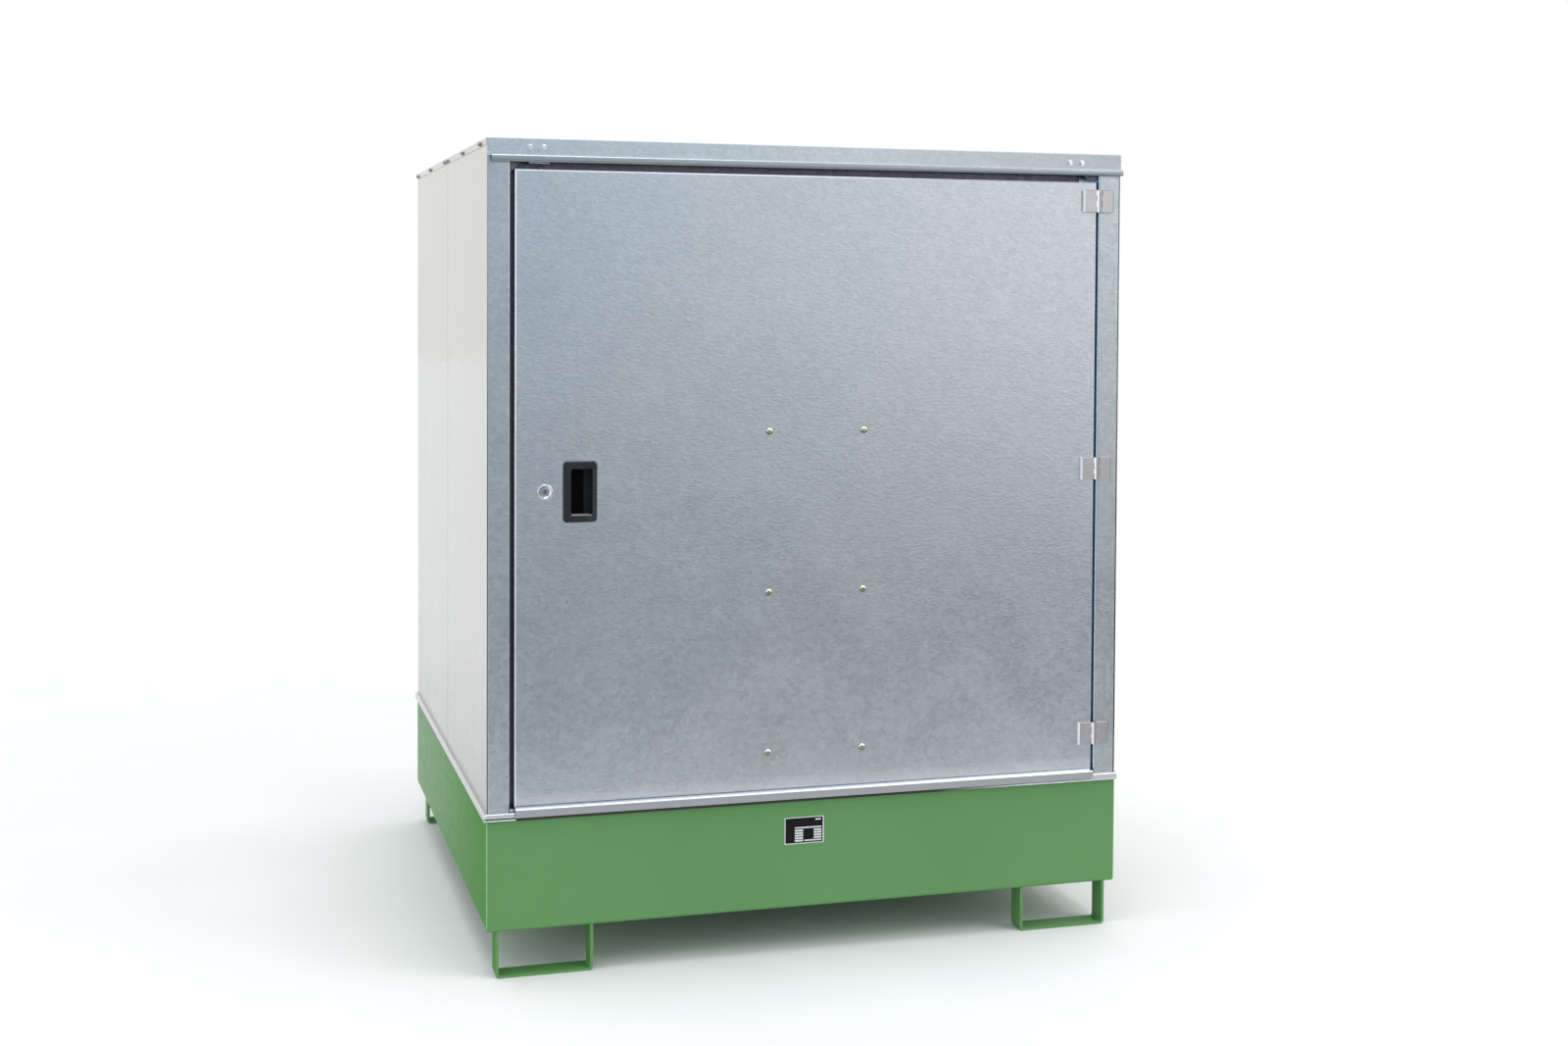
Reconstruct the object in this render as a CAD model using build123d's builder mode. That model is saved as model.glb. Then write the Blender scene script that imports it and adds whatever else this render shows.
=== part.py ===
from build123d import *
import os
from math import sqrt

os.makedirs("parts", exist_ok=True)

# ---------------------------------------------------------------------------
# Lockable drum depot: galvanised cabinet with one hinged door, standing on a
# green steel sump tray with forklift feet.  Millimetres, +Z up, front is -Y.
# Origin: centre of the footprint, on the floor.
# ---------------------------------------------------------------------------

# ---- driving dimensions ----------------------------------------------------
W = 1440.0            # width over the tray and the side walls
D = 1340.0            # depth over the tray and the walls
H = 1765.0            # overall height to the top of the roof
FOOT_H = 100.0        # clear height under the tray for forks
FOOT_W = 208.0        # outer width of a foot
FOOT_IN = 20.0        # feet stand in from the tray's sides
FOOT_FRONT = 5.0      # feet stand back from the tray's front
FOOT_BAR = 50.0       # width of the flat bar of a foot
FOOT_T = 6.0          # thickness of the flat bar
TRAY_T = 3.0          # tray plate
TRAY_TOP = 350.0      # top of the tray wall, under the base frame's flange
LIP_LOW = 335.0       # lower edge of the rounded rim
LIP_TOP = 352.0       # top of the rounded rim
LIP_OUT = 7.0         # rim stands out of the tray's wall
FLANGE = 25.0         # base frame flange, measured in from the tray's face
T_WALL = 1.5          # wall, roof and door sheet
T_POST = 2.0          # post and rail sheet
BEND = 1.5            # inside bend radius of folded sheet
ROOF_LOW = 1750.0     # lower edge of the roof's side flanges
FASCIA_LOW = 1731.0   # lower edge of the flat fascia, above its rolled lip
LIP2_LOW = 1716.0     # lower edge of the fascia's rolled lip
DOOR_L, DOOR_R = -662.0, 661.0      # door edges
DOOR_LOW, DOOR_TOP = 364.0, 1702.0
DOOR_DEPTH = 30.0
DRIP_LOW = 343.0      # lower edge of the door's drip rail
POST_L, POST_R = -671.5, 667.0      # inner faces of the posts
STOP_Y = -636.0       # front face of the door stop flanges
HINGE_X, HINGE_Y = 665.5, -676.5    # door axis
HINGE_Z = (1658.5, 1052.0, 446.0)   # hinge centres, top to bottom
HINGE_H = 50.0
HINGE_LEAF_T = 8.0
KNUCKLE_R = 6.5
PIN_R = 3.0
LOCK_X, LOCK_Z = -598.0, 1025.5     # lock axis
CRANK_R = 12.0        # crank pins of the lock cam
ROD_R = 4.0           # lock rods
ROD_Y = -654.2        # plane of the lock rods
ROD_U_X, ROD_L_X = -606.0, -590.0   # upper and lower rod
ROD_TRAVEL = 17.0
HANDLE = (-560.0, -487.0, 960.0, 1089.5)   # cup handle outline, x then z
CUP = (-543.0, -497.0, 975.7, 1073.0)      # its finger recess
BOLT_X, BOLT_Z = 108.0, (446.0, 796.5, 1147.0)
GRATE_TOP, GRATE_H = 330.0, 30.0
SEAM_Z = (520.0, 920.0, 1320.0, 1660.0)    # bolts in the wall seams
ROOF_SCREW_Y = (-575.0, -290.0, -9.0, 43.0, 347.0, 643.0)
FASCIA_SCREWS = ((-630.8, 1748.0), (-601.6, 1748.0), (594.0, 1744.5), (623.0, 1744.5))

XH, YH = W / 2, D / 2
YF = -YH              # front plane
C45 = CRANK_R / sqrt(2)


# ---- small helpers ---------------------------------------------------------
def slab(x0, x1, y0, y1, z0, z1, mode=Mode.ADD):
    """An upright block between two corners, in the active part."""
    with Locations(((x0 + x1) / 2, (y0 + y1) / 2, (z0 + z1) / 2)):
        Box(x1 - x0, y1 - y0, z1 - z0, mode=mode)


def folded(path, t, bend=BEND):
    """Closed outline of a folded sheet in the active line.

    The sheet lies to the left of the path for positive t, to the right for
    negative t; each bend has the inside radius bend.
    """
    s = 1.0 if t > 0 else -1.0
    a = abs(t)
    dirs = []
    for p, q in zip(path, path[1:]):
        n = sqrt((q[0] - p[0]) ** 2 + (q[1] - p[1]) ** 2)
        dirs.append(((q[0] - p[0]) / n, (q[1] - p[1]) / n))
    off, r_path, r_off = [], [], []
    for i, p in enumerate(path):
        if i in (0, len(path) - 1):
            d = dirs[0] if i == 0 else dirs[-1]
            off.append((p[0] - s * d[1] * a, p[1] + s * d[0] * a))
            r_path.append(0)
            r_off.append(0)
        else:
            d1, d2 = dirs[i - 1], dirs[i]
            n1, n2 = (-d1[1], d1[0]), (-d2[1], d2[0])
            k = s * a / (1 + n1[0] * n2[0] + n1[1] * n2[1])
            off.append((p[0] + (n1[0] + n2[0]) * k, p[1] + (n1[1] + n2[1]) * k))
            turn_left = d1[0] * d2[1] - d1[1] * d2[0] > 0
            outside = turn_left == (s > 0)
            r_path.append(bend + a if outside else bend)
            r_off.append(bend if outside else bend + a)
    FilletPolyline(
        *(list(path) + off[::-1]), radius=r_path + r_off[::-1], close=True
    )


def finish(obj, label):
    obj.part.label = label
    export_step(obj.part, f"parts/{label}.step")


# ---- sump tray and its feet --------------------------------------------------
with BuildPart() as sump_tray:
    slab(-XH, XH, -YH, YH, FOOT_H, TRAY_TOP)
    fillet(sump_tray.faces().sort_by(Axis.Z)[0].edges(), 7.0)
    slab(-XH + TRAY_T, XH - TRAY_T, -YH + TRAY_T, YH - TRAY_T,
         FOOT_H + TRAY_T, TRAY_TOP + 10, mode=Mode.SUBTRACT)
finish(sump_tray, "sump_tray")


def foot_path(x0):
    return [(x0, FOOT_H), (x0, 0), (x0 + FOOT_W, 0), (x0 + FOOT_W, FOOT_H)]


FOOT_LX, FOOT_RX = -XH + FOOT_IN, XH - FOOT_IN - FOOT_W
FOOT_FY, FOOT_RY = YF + FOOT_FRONT, YH - FOOT_FRONT - FOOT_BAR

with BuildPart() as foot_front_left:
    with BuildSketch(Plane.XZ.offset(-FOOT_FY - FOOT_BAR)):
        with BuildLine():
            folded(foot_path(FOOT_LX), FOOT_T, 4.0)
        make_face()
    extrude(amount=FOOT_BAR)
finish(foot_front_left, "foot_front_left")

with BuildPart() as foot_front_right:
    with BuildSketch(Plane.XZ.offset(-FOOT_FY - FOOT_BAR)):
        with BuildLine():
            folded(foot_path(FOOT_RX), FOOT_T, 4.0)
        make_face()
    extrude(amount=FOOT_BAR)
finish(foot_front_right, "foot_front_right")

with BuildPart() as foot_rear_left:
    with BuildSketch(Plane.XZ.offset(-FOOT_RY - FOOT_BAR)):
        with BuildLine():
            folded(foot_path(FOOT_LX), FOOT_T, 4.0)
        make_face()
    extrude(amount=FOOT_BAR)
finish(foot_rear_left, "foot_rear_left")

with BuildPart() as foot_rear_right:
    with BuildSketch(Plane.XZ.offset(-FOOT_RY - FOOT_BAR)):
        with BuildLine():
            folded(foot_path(FOOT_RX), FOOT_T, 4.0)
        make_face()
    extrude(amount=FOOT_BAR)
finish(foot_rear_right, "foot_rear_right")

# ---- grating supports inside the tray ---------------------------------------
G_LOW = GRATE_TOP - GRATE_H
with BuildPart() as grating_ledge_left:
    with BuildSketch(Plane.XZ.offset(-600)):
        with BuildLine():
            folded([(-XH + TRAY_T, G_LOW - 40), (-XH + TRAY_T, G_LOW),
                    (-XH + TRAY_T + 45, G_LOW)], -4.0, 3.0)
        make_face()
    extrude(amount=1200)
finish(grating_ledge_left, "grating_ledge_left")

with BuildPart() as grating_ledge_right:
    with BuildSketch(Plane.XZ.offset(-600)):
        with BuildLine():
            folded([(XH - TRAY_T, G_LOW - 40), (XH - TRAY_T, G_LOW),
                    (XH - TRAY_T - 45, G_LOW)], 4.0, 3.0)
        make_face()
    extrude(amount=1200)
finish(grating_ledge_right, "grating_ledge_right")

# inverted channel along the middle of the sump, with holes that let liquid pass
with BuildPart() as centre_bearer:
    with BuildSketch(Plane.XZ.offset(-640)):
        with BuildLine():
            folded([(-28, FOOT_H + TRAY_T), (-28, G_LOW), (28, G_LOW),
                    (28, FOOT_H + TRAY_T)], -4.0, 3.0)
        make_face()
    extrude(amount=1280)
    with BuildSketch(Plane.YZ.offset(-40)):
        with Locations(*[(y, 150.0) for y in (-480, -240, 0, 240, 480)]):
            Circle(30)
    extrude(amount=80, mode=Mode.SUBTRACT)
finish(centre_bearer, "centre_bearer")


# ---- removable gratings ------------------------------------------------------
G_IN, G_OUT = 2.0, 692.0
G_FRONT, G_REAR = -626.0, 640.0
G_NX, G_NY = 7, 38
G_L, G_B = G_OUT - G_IN, G_REAR - G_FRONT
G_PX, G_PY = (G_L - 4) / G_NX, (G_B - 4) / G_NY
G_CY = (G_FRONT + G_REAR) / 2

with BuildPart() as grating_left:
    with BuildSketch(Plane.XY.offset(GRATE_TOP - 8)):
        with Locations((-(G_IN + G_OUT) / 2, G_CY)):
            Rectangle(G_L, G_B)
            with GridLocations(G_PX, G_PY, G_NX, G_NY):
                Rectangle(G_PX - 4, G_PY - 3, mode=Mode.SUBTRACT)
    extrude(amount=8)
    with BuildSketch(Plane.XY.offset(G_LOW)):
        with Locations((-(G_IN + G_OUT) / 2, G_CY)):
            Rectangle(G_L, G_B)
            with GridLocations(G_PX, G_PY, 1, G_NY):
                Rectangle(G_L - 8, G_PY - 3, mode=Mode.SUBTRACT)
    extrude(amount=GRATE_H - 8)
finish(grating_left, "grating_left")

with BuildPart() as grating_right:
    with BuildSketch(Plane.XY.offset(GRATE_TOP - 8)):
        with Locations(((G_IN + G_OUT) / 2, G_CY)):
            Rectangle(G_L, G_B)
            with GridLocations(G_PX, G_PY, G_NX, G_NY):
                Rectangle(G_PX - 4, G_PY - 3, mode=Mode.SUBTRACT)
    extrude(amount=8)
    with BuildSketch(Plane.XY.offset(G_LOW)):
        with Locations(((G_IN + G_OUT) / 2, G_CY)):
            Rectangle(G_L, G_B)
            with GridLocations(G_PX, G_PY, 1, G_NY):
                Rectangle(G_L - 8, G_PY - 3, mode=Mode.SUBTRACT)
    extrude(amount=GRATE_H - 8)
finish(grating_right, "grating_right")

# ---- base frame: flange on the tray's wall with a rounded rim ----------------
with BuildPart() as base_frame:
    slab(-XH - LIP_OUT, XH + LIP_OUT, -YH - LIP_OUT, YH + LIP_OUT, LIP_LOW, LIP_TOP)
    fillet(base_frame.edges().filter_by(Axis.Z), 6.0)
    slab(-XH - 0.3, XH + 0.3, -YH - 0.3, YH + 0.3, LIP_LOW - 5, TRAY_TOP,
         mode=Mode.SUBTRACT)
    slab(-XH + FLANGE, XH - FLANGE, -YH + FLANGE, YH - FLANGE, TRAY_TOP - 5,
         LIP_TOP + 5, mode=Mode.SUBTRACT)
    # rounded nose all the way round
    outer = base_frame.edges().filter_by(
        lambda e: e.bounding_box().size.Z < 0.01
        and (abs(e.center().X) > XH + 4 or abs(e.center().Y) > YH + 4)
    )
    fillet(outer, 3.1)
    # the lower lock rod drops through the flange
    with BuildSketch(Plane.XY.offset(TRAY_TOP - 1)):
        with Locations((ROD_L_X, ROD_Y)):
            Circle(5.5)
    extrude(amount=5, mode=Mode.SUBTRACT)
finish(base_frame, "base_frame")

# ---- front posts -------------------------------------------------------------
Z_WALL = H - T_WALL   # underside of the roof sheet
with BuildPart() as post_left:
    with BuildSketch(Plane.XY.offset(LIP_TOP)):
        with BuildLine():
            folded([(-XH + T_WALL, YF + 45), (-XH + T_WALL, YF), (POST_L, YF),
                    (POST_L, STOP_Y), (POST_L + 34, STOP_Y)], T_POST)
        make_face()
    extrude(amount=Z_WALL - LIP_TOP)
finish(post_left, "post_left")

with BuildPart() as post_right:
    with BuildSketch(Plane.XY.offset(LIP_TOP)):
        with BuildLine():
            folded([(XH - T_WALL, YF + 45), (XH - T_WALL, YF), (POST_R, YF),
                    (POST_R, STOP_Y), (POST_R - 34, STOP_Y)], -T_POST)
        make_face()
    extrude(amount=Z_WALL - LIP_TOP)
    # clearance for the hinge studs
    with BuildSketch(Plane.XZ.offset(-YF - 4)):
        with Locations(*[(689.0, z + dz) for z in HINGE_Z for dz in (-14, 14)]):
            Circle(3.4)
    extrude(amount=8, mode=Mode.SUBTRACT)
finish(post_right, "post_right")

# ---- head rail over the door, with its stop flange ---------------------------
HEAD_Z = 1718.0
with BuildPart() as head_rail:
    with BuildSketch(Plane.YZ.offset(POST_L + 0.2)):
        with BuildLine():
            folded([(YF - 0.4, 1760), (YF - 0.4, HEAD_Z), (STOP_Y, HEAD_Z),
                    (STOP_Y, 1685)], T_POST)
        make_face()
    extrude(amount=POST_R - POST_L - 0.4)
    # the stop flange ends between the posts' own stops
    slab(POST_L - 1, POST_L + 35, STOP_Y - 1.0, STOP_Y + 4, 1680, HEAD_Z - 2,
         mode=Mode.SUBTRACT)
    slab(POST_R - 35, POST_R + 1, STOP_Y - 1.0, STOP_Y + 4, 1680, HEAD_Z - 2,
         mode=Mode.SUBTRACT)
    slab(POST_L - 1, POST_L + 35, STOP_Y - 3.5, STOP_Y + 4, HEAD_Z - 2, 1724,
         mode=Mode.SUBTRACT)
    slab(POST_R - 35, POST_R + 1, STOP_Y - 3.5, STOP_Y + 4, HEAD_Z - 2, 1724,
         mode=Mode.SUBTRACT)
    # upper lock rod and fascia screws pass through
    with BuildSketch(Plane.XY.offset(HEAD_Z - 2)):
        with Locations((ROD_U_X, ROD_Y)):
            Circle(5.5)
    extrude(amount=8, mode=Mode.SUBTRACT)
    with BuildSketch(Plane.XZ.offset(-YF - 4)):
        with Locations(*FASCIA_SCREWS):
            Circle(3.4)
    extrude(amount=8, mode=Mode.SUBTRACT)
finish(head_rail, "head_rail")

# flat gussets in the two upper corners of the opening
with BuildPart() as corner_gussets:
    with BuildSketch(Plane.XZ.offset(657)):
        with BuildLine():
            Polyline((POST_L, HEAD_Z), (POST_L + 24, HEAD_Z), (POST_L, HEAD_Z - 24),
                     close=True)
        make_face()
        with BuildLine():
            Polyline((POST_R, HEAD_Z), (POST_R - 34, HEAD_Z), (POST_R - 24, HEAD_Z - 11),
                     (POST_R, HEAD_Z - 11), close=True)
        make_face()
    extrude(amount=3)
finish(corner_gussets, "corner_gussets")

# ---- fascia with a rolled drip lip -------------------------------------------
with BuildPart() as roof_fascia:
    slab(-XH, XH, YF - 2.0, YF - 0.5, FASCIA_LOW - 6, H)
    with BuildSketch(Plane.YZ.offset(-712)):
        with Locations((YF - 6.0, (FASCIA_LOW + LIP2_LOW) / 2)):
            RectangleRounded(11.0, FASCIA_LOW - LIP2_LOW, 4.9)
            Rectangle(6.0, FASCIA_LOW - LIP2_LOW - 5.0, mode=Mode.SUBTRACT)
    extrude(amount=712 + 722)
    with BuildSketch(Plane.XZ.offset(-YF - 4)):
        with Locations(*FASCIA_SCREWS):
            Circle(3.4)
    extrude(amount=10, mode=Mode.SUBTRACT)
finish(roof_fascia, "roof_fascia")

with BuildPart() as fascia_screws:
    with BuildSketch(Plane.XZ.offset(-YF - 12)):
        with Locations(*FASCIA_SCREWS):
            Circle(3.0)
    extrude(amount=14)
    with BuildSketch(Plane.XZ.offset(-YF + 2.0)):
        with Locations(*FASCIA_SCREWS):
            Circle(6.5)
    extrude(amount=1.0)
    with BuildSketch(Plane.XZ.offset(-YF + 3.0)):
        with Locations(*FASCIA_SCREWS):
            RegularPolygon(4.9, 6)
    extrude(amount=3.6)
    chamfer(fascia_screws.faces().filter_by(Axis.Y).group_by(Axis.Y)[0].edges(), 0.6)
finish(fascia_screws, "fascia_screws")

# ---- roof --------------------------------------------------------------------
REAR_SCREW_X = (-620.0, -320.0, -30.0, 30.0, 320.0, 620.0)
SCREW_Z = 1757.5
with BuildPart() as roof_panel:
    slab(-XH - T_WALL, XH + T_WALL, YF - 0.4, YH + T_WALL, ROOF_LOW, H)
    fillet(roof_panel.faces().sort_by(Axis.Z)[-1].edges().filter_by(Axis.Y), 1.4)
    slab(-XH, XH, YF - 5, YH, ROOF_LOW - 5, Z_WALL, mode=Mode.SUBTRACT)
    with BuildSketch(Plane.YZ.offset(-XH - 5)):
        with Locations(*[(y, SCREW_Z) for y in ROOF_SCREW_Y]):
            Circle(3.2)
    extrude(amount=W + 10, mode=Mode.SUBTRACT)
    with BuildSketch(Plane.XZ.offset(-YH - 5)):
        with Locations(*[(x, SCREW_Z) for x in REAR_SCREW_X]):
            Circle(3.2)
    extrude(amount=10, mode=Mode.SUBTRACT)
finish(roof_panel, "roof_panel")

# hat section under the roof, across the middle
with BuildPart() as roof_beam:
    with BuildSketch(Plane.YZ.offset(-XH + T_WALL)):
        with BuildLine():
            folded([(-24, Z_WALL), (0, Z_WALL), (0, 1725), (36, 1725), (36, Z_WALL),
                    (60, Z_WALL)], -2.0)
        make_face()
    extrude(amount=W - 2 * T_WALL)
finish(roof_beam, "roof_beam")


# ---- walls -------------------------------------------------------------------
def wall_holes(side):
    """Screw holes along a side wall's top edge."""
    with Locations(*[(side * XH, y, SCREW_Z) for y in ROOF_SCREW_Y]):
        Cylinder(3.2, 12, rotation=(0, 90, 0), mode=Mode.SUBTRACT)


def rear_holes():
    """Screw holes along the rear wall's top edge."""
    with Locations(*[(x, YH, SCREW_Z) for x in REAR_SCREW_X]):
        Cylinder(3.2, 12, rotation=(90, 0, 0), mode=Mode.SUBTRACT)


def seam_holes(side, y):
    """Holes for the bolts that join the two panels of a side wall."""
    with Locations(*[(side * (XH - 13.0), y, z) for z in SEAM_Z]):
        Cylinder(3.2, 12, rotation=(90, 0, 0), mode=Mode.SUBTRACT)


with BuildPart() as wall_left_front:
    with BuildSketch(Plane.XY.offset(LIP_TOP)):
        with BuildLine():
            folded([(-XH, YF), (-XH, -0.3), (-XH + 25, -0.3)], -T_WALL, 1.0)
        make_face()
    extrude(amount=Z_WALL - LIP_TOP)
    slab(-XH + T_WALL, -XH + 30, -60, 60, 1715, 1780, mode=Mode.SUBTRACT)
    wall_holes(-1)
    seam_holes(-1, 0)
finish(wall_left_front, "wall_left_front")

with BuildPart() as wall_left_rear:
    with BuildSketch(Plane.XY.offset(LIP_TOP)):
        with BuildLine():
            folded([(-XH + 25, 0.3), (-XH, 0.3), (-XH, YH), (-XH + 30, YH)], -T_WALL, 1.0)
        make_face()
    extrude(amount=Z_WALL - LIP_TOP)
    slab(-XH + T_WALL, -XH + 30, -60, 64, 1715, 1780, mode=Mode.SUBTRACT)
    wall_holes(-1)
    seam_holes(-1, 0)
finish(wall_left_rear, "wall_left_rear")

with BuildPart() as wall_right_front:
    with BuildSketch(Plane.XY.offset(LIP_TOP)):
        with BuildLine():
            folded([(XH, YF), (XH, -0.3), (XH - 25, -0.3)], T_WALL, 1.0)
        make_face()
    extrude(amount=Z_WALL - LIP_TOP)
    slab(XH - 30, XH - T_WALL, -60, 60, 1715, 1780, mode=Mode.SUBTRACT)
    wall_holes(1)
    seam_holes(1, 0)
finish(wall_right_front, "wall_right_front")

with BuildPart() as wall_right_rear:
    with BuildSketch(Plane.XY.offset(LIP_TOP)):
        with BuildLine():
            folded([(XH - 25, 0.3), (XH, 0.3), (XH, YH), (XH - 30, YH)], T_WALL, 1.0)
        make_face()
    extrude(amount=Z_WALL - LIP_TOP)
    slab(XH - 30, XH - T_WALL, -60, 64, 1715, 1780, mode=Mode.SUBTRACT)
    wall_holes(1)
    seam_holes(1, 0)
finish(wall_right_rear, "wall_right_rear")

with BuildPart() as rear_wall_left:
    with BuildSketch(Plane.XY.offset(LIP_TOP)):
        with BuildLine():
            folded([(-XH + 4, YH - T_WALL), (-0.3, YH - T_WALL), (-0.3, YH - 27)],
                   -T_WALL, 1.0)
        make_face()
    extrude(amount=Z_WALL - LIP_TOP)
    with Locations(*[(0, YH - 14.5, z) for z in SEAM_Z]):
        Cylinder(3.2, 12, rotation=(0, 90, 0), mode=Mode.SUBTRACT)
    rear_holes()
finish(rear_wall_left, "rear_wall_left")

with BuildPart() as rear_wall_right:
    with BuildSketch(Plane.XY.offset(LIP_TOP)):
        with BuildLine():
            folded([(XH - 4, YH - T_WALL), (0.3, YH - T_WALL), (0.3, YH - 27)],
                   T_WALL, 1.0)
        make_face()
    extrude(amount=Z_WALL - LIP_TOP)
    with Locations(*[(0, YH - 14.5, z) for z in SEAM_Z]):
        Cylinder(3.2, 12, rotation=(0, 90, 0), mode=Mode.SUBTRACT)
    rear_holes()
finish(rear_wall_right, "rear_wall_right")

# bolts and nuts in the three wall seams (left, right, rear)
with BuildPart() as seam_bolts:
    for side in (-1, 1):
        with BuildSketch(Plane.XZ.offset(-14)):
            with Locations(*[(side * (XH - 13.0), z) for z in SEAM_Z]):
                Circle(3.0)
        extrude(amount=14 + 1.8)
        with BuildSketch(Plane.XZ.offset(1.8)):
            with Locations(*[(side * (XH - 13.0), z) for z in SEAM_Z]):
                RegularPolygon(5.6, 6)
        extrude(amount=4)
    with BuildSketch(Plane.YZ.offset(-1.8)):
        with Locations(*[(YH - 14.5, z) for z in SEAM_Z]):
            Circle(3.0)
    extrude(amount=14 + 1.8)
    with BuildSketch(Plane.YZ.offset(-5.8)):
        with Locations(*[(YH - 14.5, z) for z in SEAM_Z]):
            RegularPolygon(5.6, 6)
    extrude(amount=4)
finish(seam_bolts, "seam_bolts")

with BuildPart() as seam_nuts:
    for side in (-1, 1):
        with BuildSketch(Plane.XZ.offset(-6.8)):
            with Locations(*[(side * (XH - 13.0), z) for z in SEAM_Z]):
                RegularPolygon(5.6, 6)
                Circle(3.02, mode=Mode.SUBTRACT)
        extrude(amount=5)
    with BuildSketch(Plane.YZ.offset(1.8)):
        with Locations(*[(YH - 14.5, z) for z in SEAM_Z]):
            RegularPolygon(5.6, 6)
            Circle(3.02, mode=Mode.SUBTRACT)
    extrude(amount=5)
finish(seam_nuts, "seam_nuts")

# self-tapping hex screws along the roof's side and rear flanges
with BuildPart() as roof_screws:
    for side in (-1, 1):
        with BuildSketch(Plane.YZ.offset(side * (XH - 10))):
            with Locations(*[(y, SCREW_Z) for y in ROOF_SCREW_Y]):
                Circle(2.9)
        extrude(amount=side * (10 + T_WALL))
        with BuildSketch(Plane.YZ.offset(side * (XH + T_WALL))):
            with Locations(*[(y, SCREW_Z) for y in ROOF_SCREW_Y]):
                Circle(6.5)
        extrude(amount=side * 1.0)
        with BuildSketch(Plane.YZ.offset(side * (XH + T_WALL + 1.0))):
            with Locations(*[(y, SCREW_Z) for y in ROOF_SCREW_Y]):
                RegularPolygon(4.9, 6)
        extrude(amount=side * 4.0)
    with BuildSketch(Plane.XZ.offset(-YH + 10)):
        with Locations(*[(x, SCREW_Z) for x in REAR_SCREW_X]):
            Circle(2.9)
    extrude(amount=-(10 + T_WALL))
    with BuildSketch(Plane.XZ.offset(-YH - T_WALL)):
        with Locations(*[(x, SCREW_Z) for x in REAR_SCREW_X]):
            Circle(6.5)
    extrude(amount=-1.0)
    with BuildSketch(Plane.XZ.offset(-YH - T_WALL - 1.0)):
        with Locations(*[(x, SCREW_Z) for x in REAR_SCREW_X]):
            RegularPolygon(4.9, 6)
    extrude(amount=-4.0)
finish(roof_screws, "roof_screws")

# ---- door sill and strikes ---------------------------------------------------
SILL_TOP = 357.6
with BuildPart() as door_sill:
    with BuildSketch(Plane.YZ.offset(POST_L + 0.2)):
        with BuildLine():
            folded([(STOP_Y + T_POST, 384), (STOP_Y + T_POST, SILL_TOP - T_POST),
                    (YF + 6, SILL_TOP - T_POST), (YF + 6, LIP_TOP)], -T_POST)
        make_face()
    extrude(amount=POST_R - POST_L - 0.4)
    slab(POST_L - 1, POST_L + 35, STOP_Y - 4.0, STOP_Y + 4, 350, 400, mode=Mode.SUBTRACT)
    slab(POST_R - 35, POST_R + 1, STOP_Y - 4.0, STOP_Y + 4, 350, 400, mode=Mode.SUBTRACT)
    with BuildSketch(Plane.XY.offset(350)):
        with Locations((ROD_L_X, ROD_Y)):
            Circle(5.0)
    extrude(amount=15, mode=Mode.SUBTRACT)
finish(door_sill, "door_sill")

with BuildPart() as strike_lower:
    with BuildSketch(Plane.XY.offset(LIP_TOP)):
        with Locations((ROD_L_X, -654.0)):
            RectangleRounded(44, 14, 2)
        with Locations((ROD_L_X, ROD_Y)):
            Circle(4.6, mode=Mode.SUBTRACT)
    extrude(amount=SILL_TOP - T_POST - LIP_TOP)
finish(strike_lower, "strike_lower")

with BuildPart() as sill_spacers:
    with BuildSketch(Plane.XY.offset(LIP_TOP)):
        with Locations((0, -654.0), (590, -654.0)):
            RectangleRounded(44, 14, 2)
    extrude(amount=SILL_TOP - T_POST - LIP_TOP)
finish(sill_spacers, "sill_spacers")

with BuildPart() as strike_upper:
    with BuildSketch(Plane.XY.offset(HEAD_Z - 4.5)):
        with Locations((-610, -654)):
            RectangleRounded(44, 27, 2)
        with Locations((ROD_U_X, ROD_Y)):
            Circle(4.6, mode=Mode.SUBTRACT)
    extrude(amount=4.5)
finish(strike_upper, "strike_upper")

# ---- rubber seal on the stop flanges ----------------------------------------
with BuildPart() as door_seal:
    with BuildSketch(Plane.XZ.offset(-STOP_Y)):
        with BuildLine():
            Polyline((-657, 367), (656, 367), (656, 1698), (-657, 1698), close=True)
        make_face()
        with BuildLine():
            Polyline((-646, 378), (645, 378), (645, 1687), (-646, 1687), close=True)
        make_face(mode=Mode.SUBTRACT)
    extrude(amount=3.7)
finish(door_seal, "door_seal")

# ---- type plate on the tray ---------------------------------------------------
with BuildPart() as type_plate:
    with BuildSketch(Plane.XZ.offset(-YF)):
        with Locations((-24, 269.5)):
            RectangleRounded(90, 59, 2.5)
    extrude(amount=1.0)
finish(type_plate, "type_plate")

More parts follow.
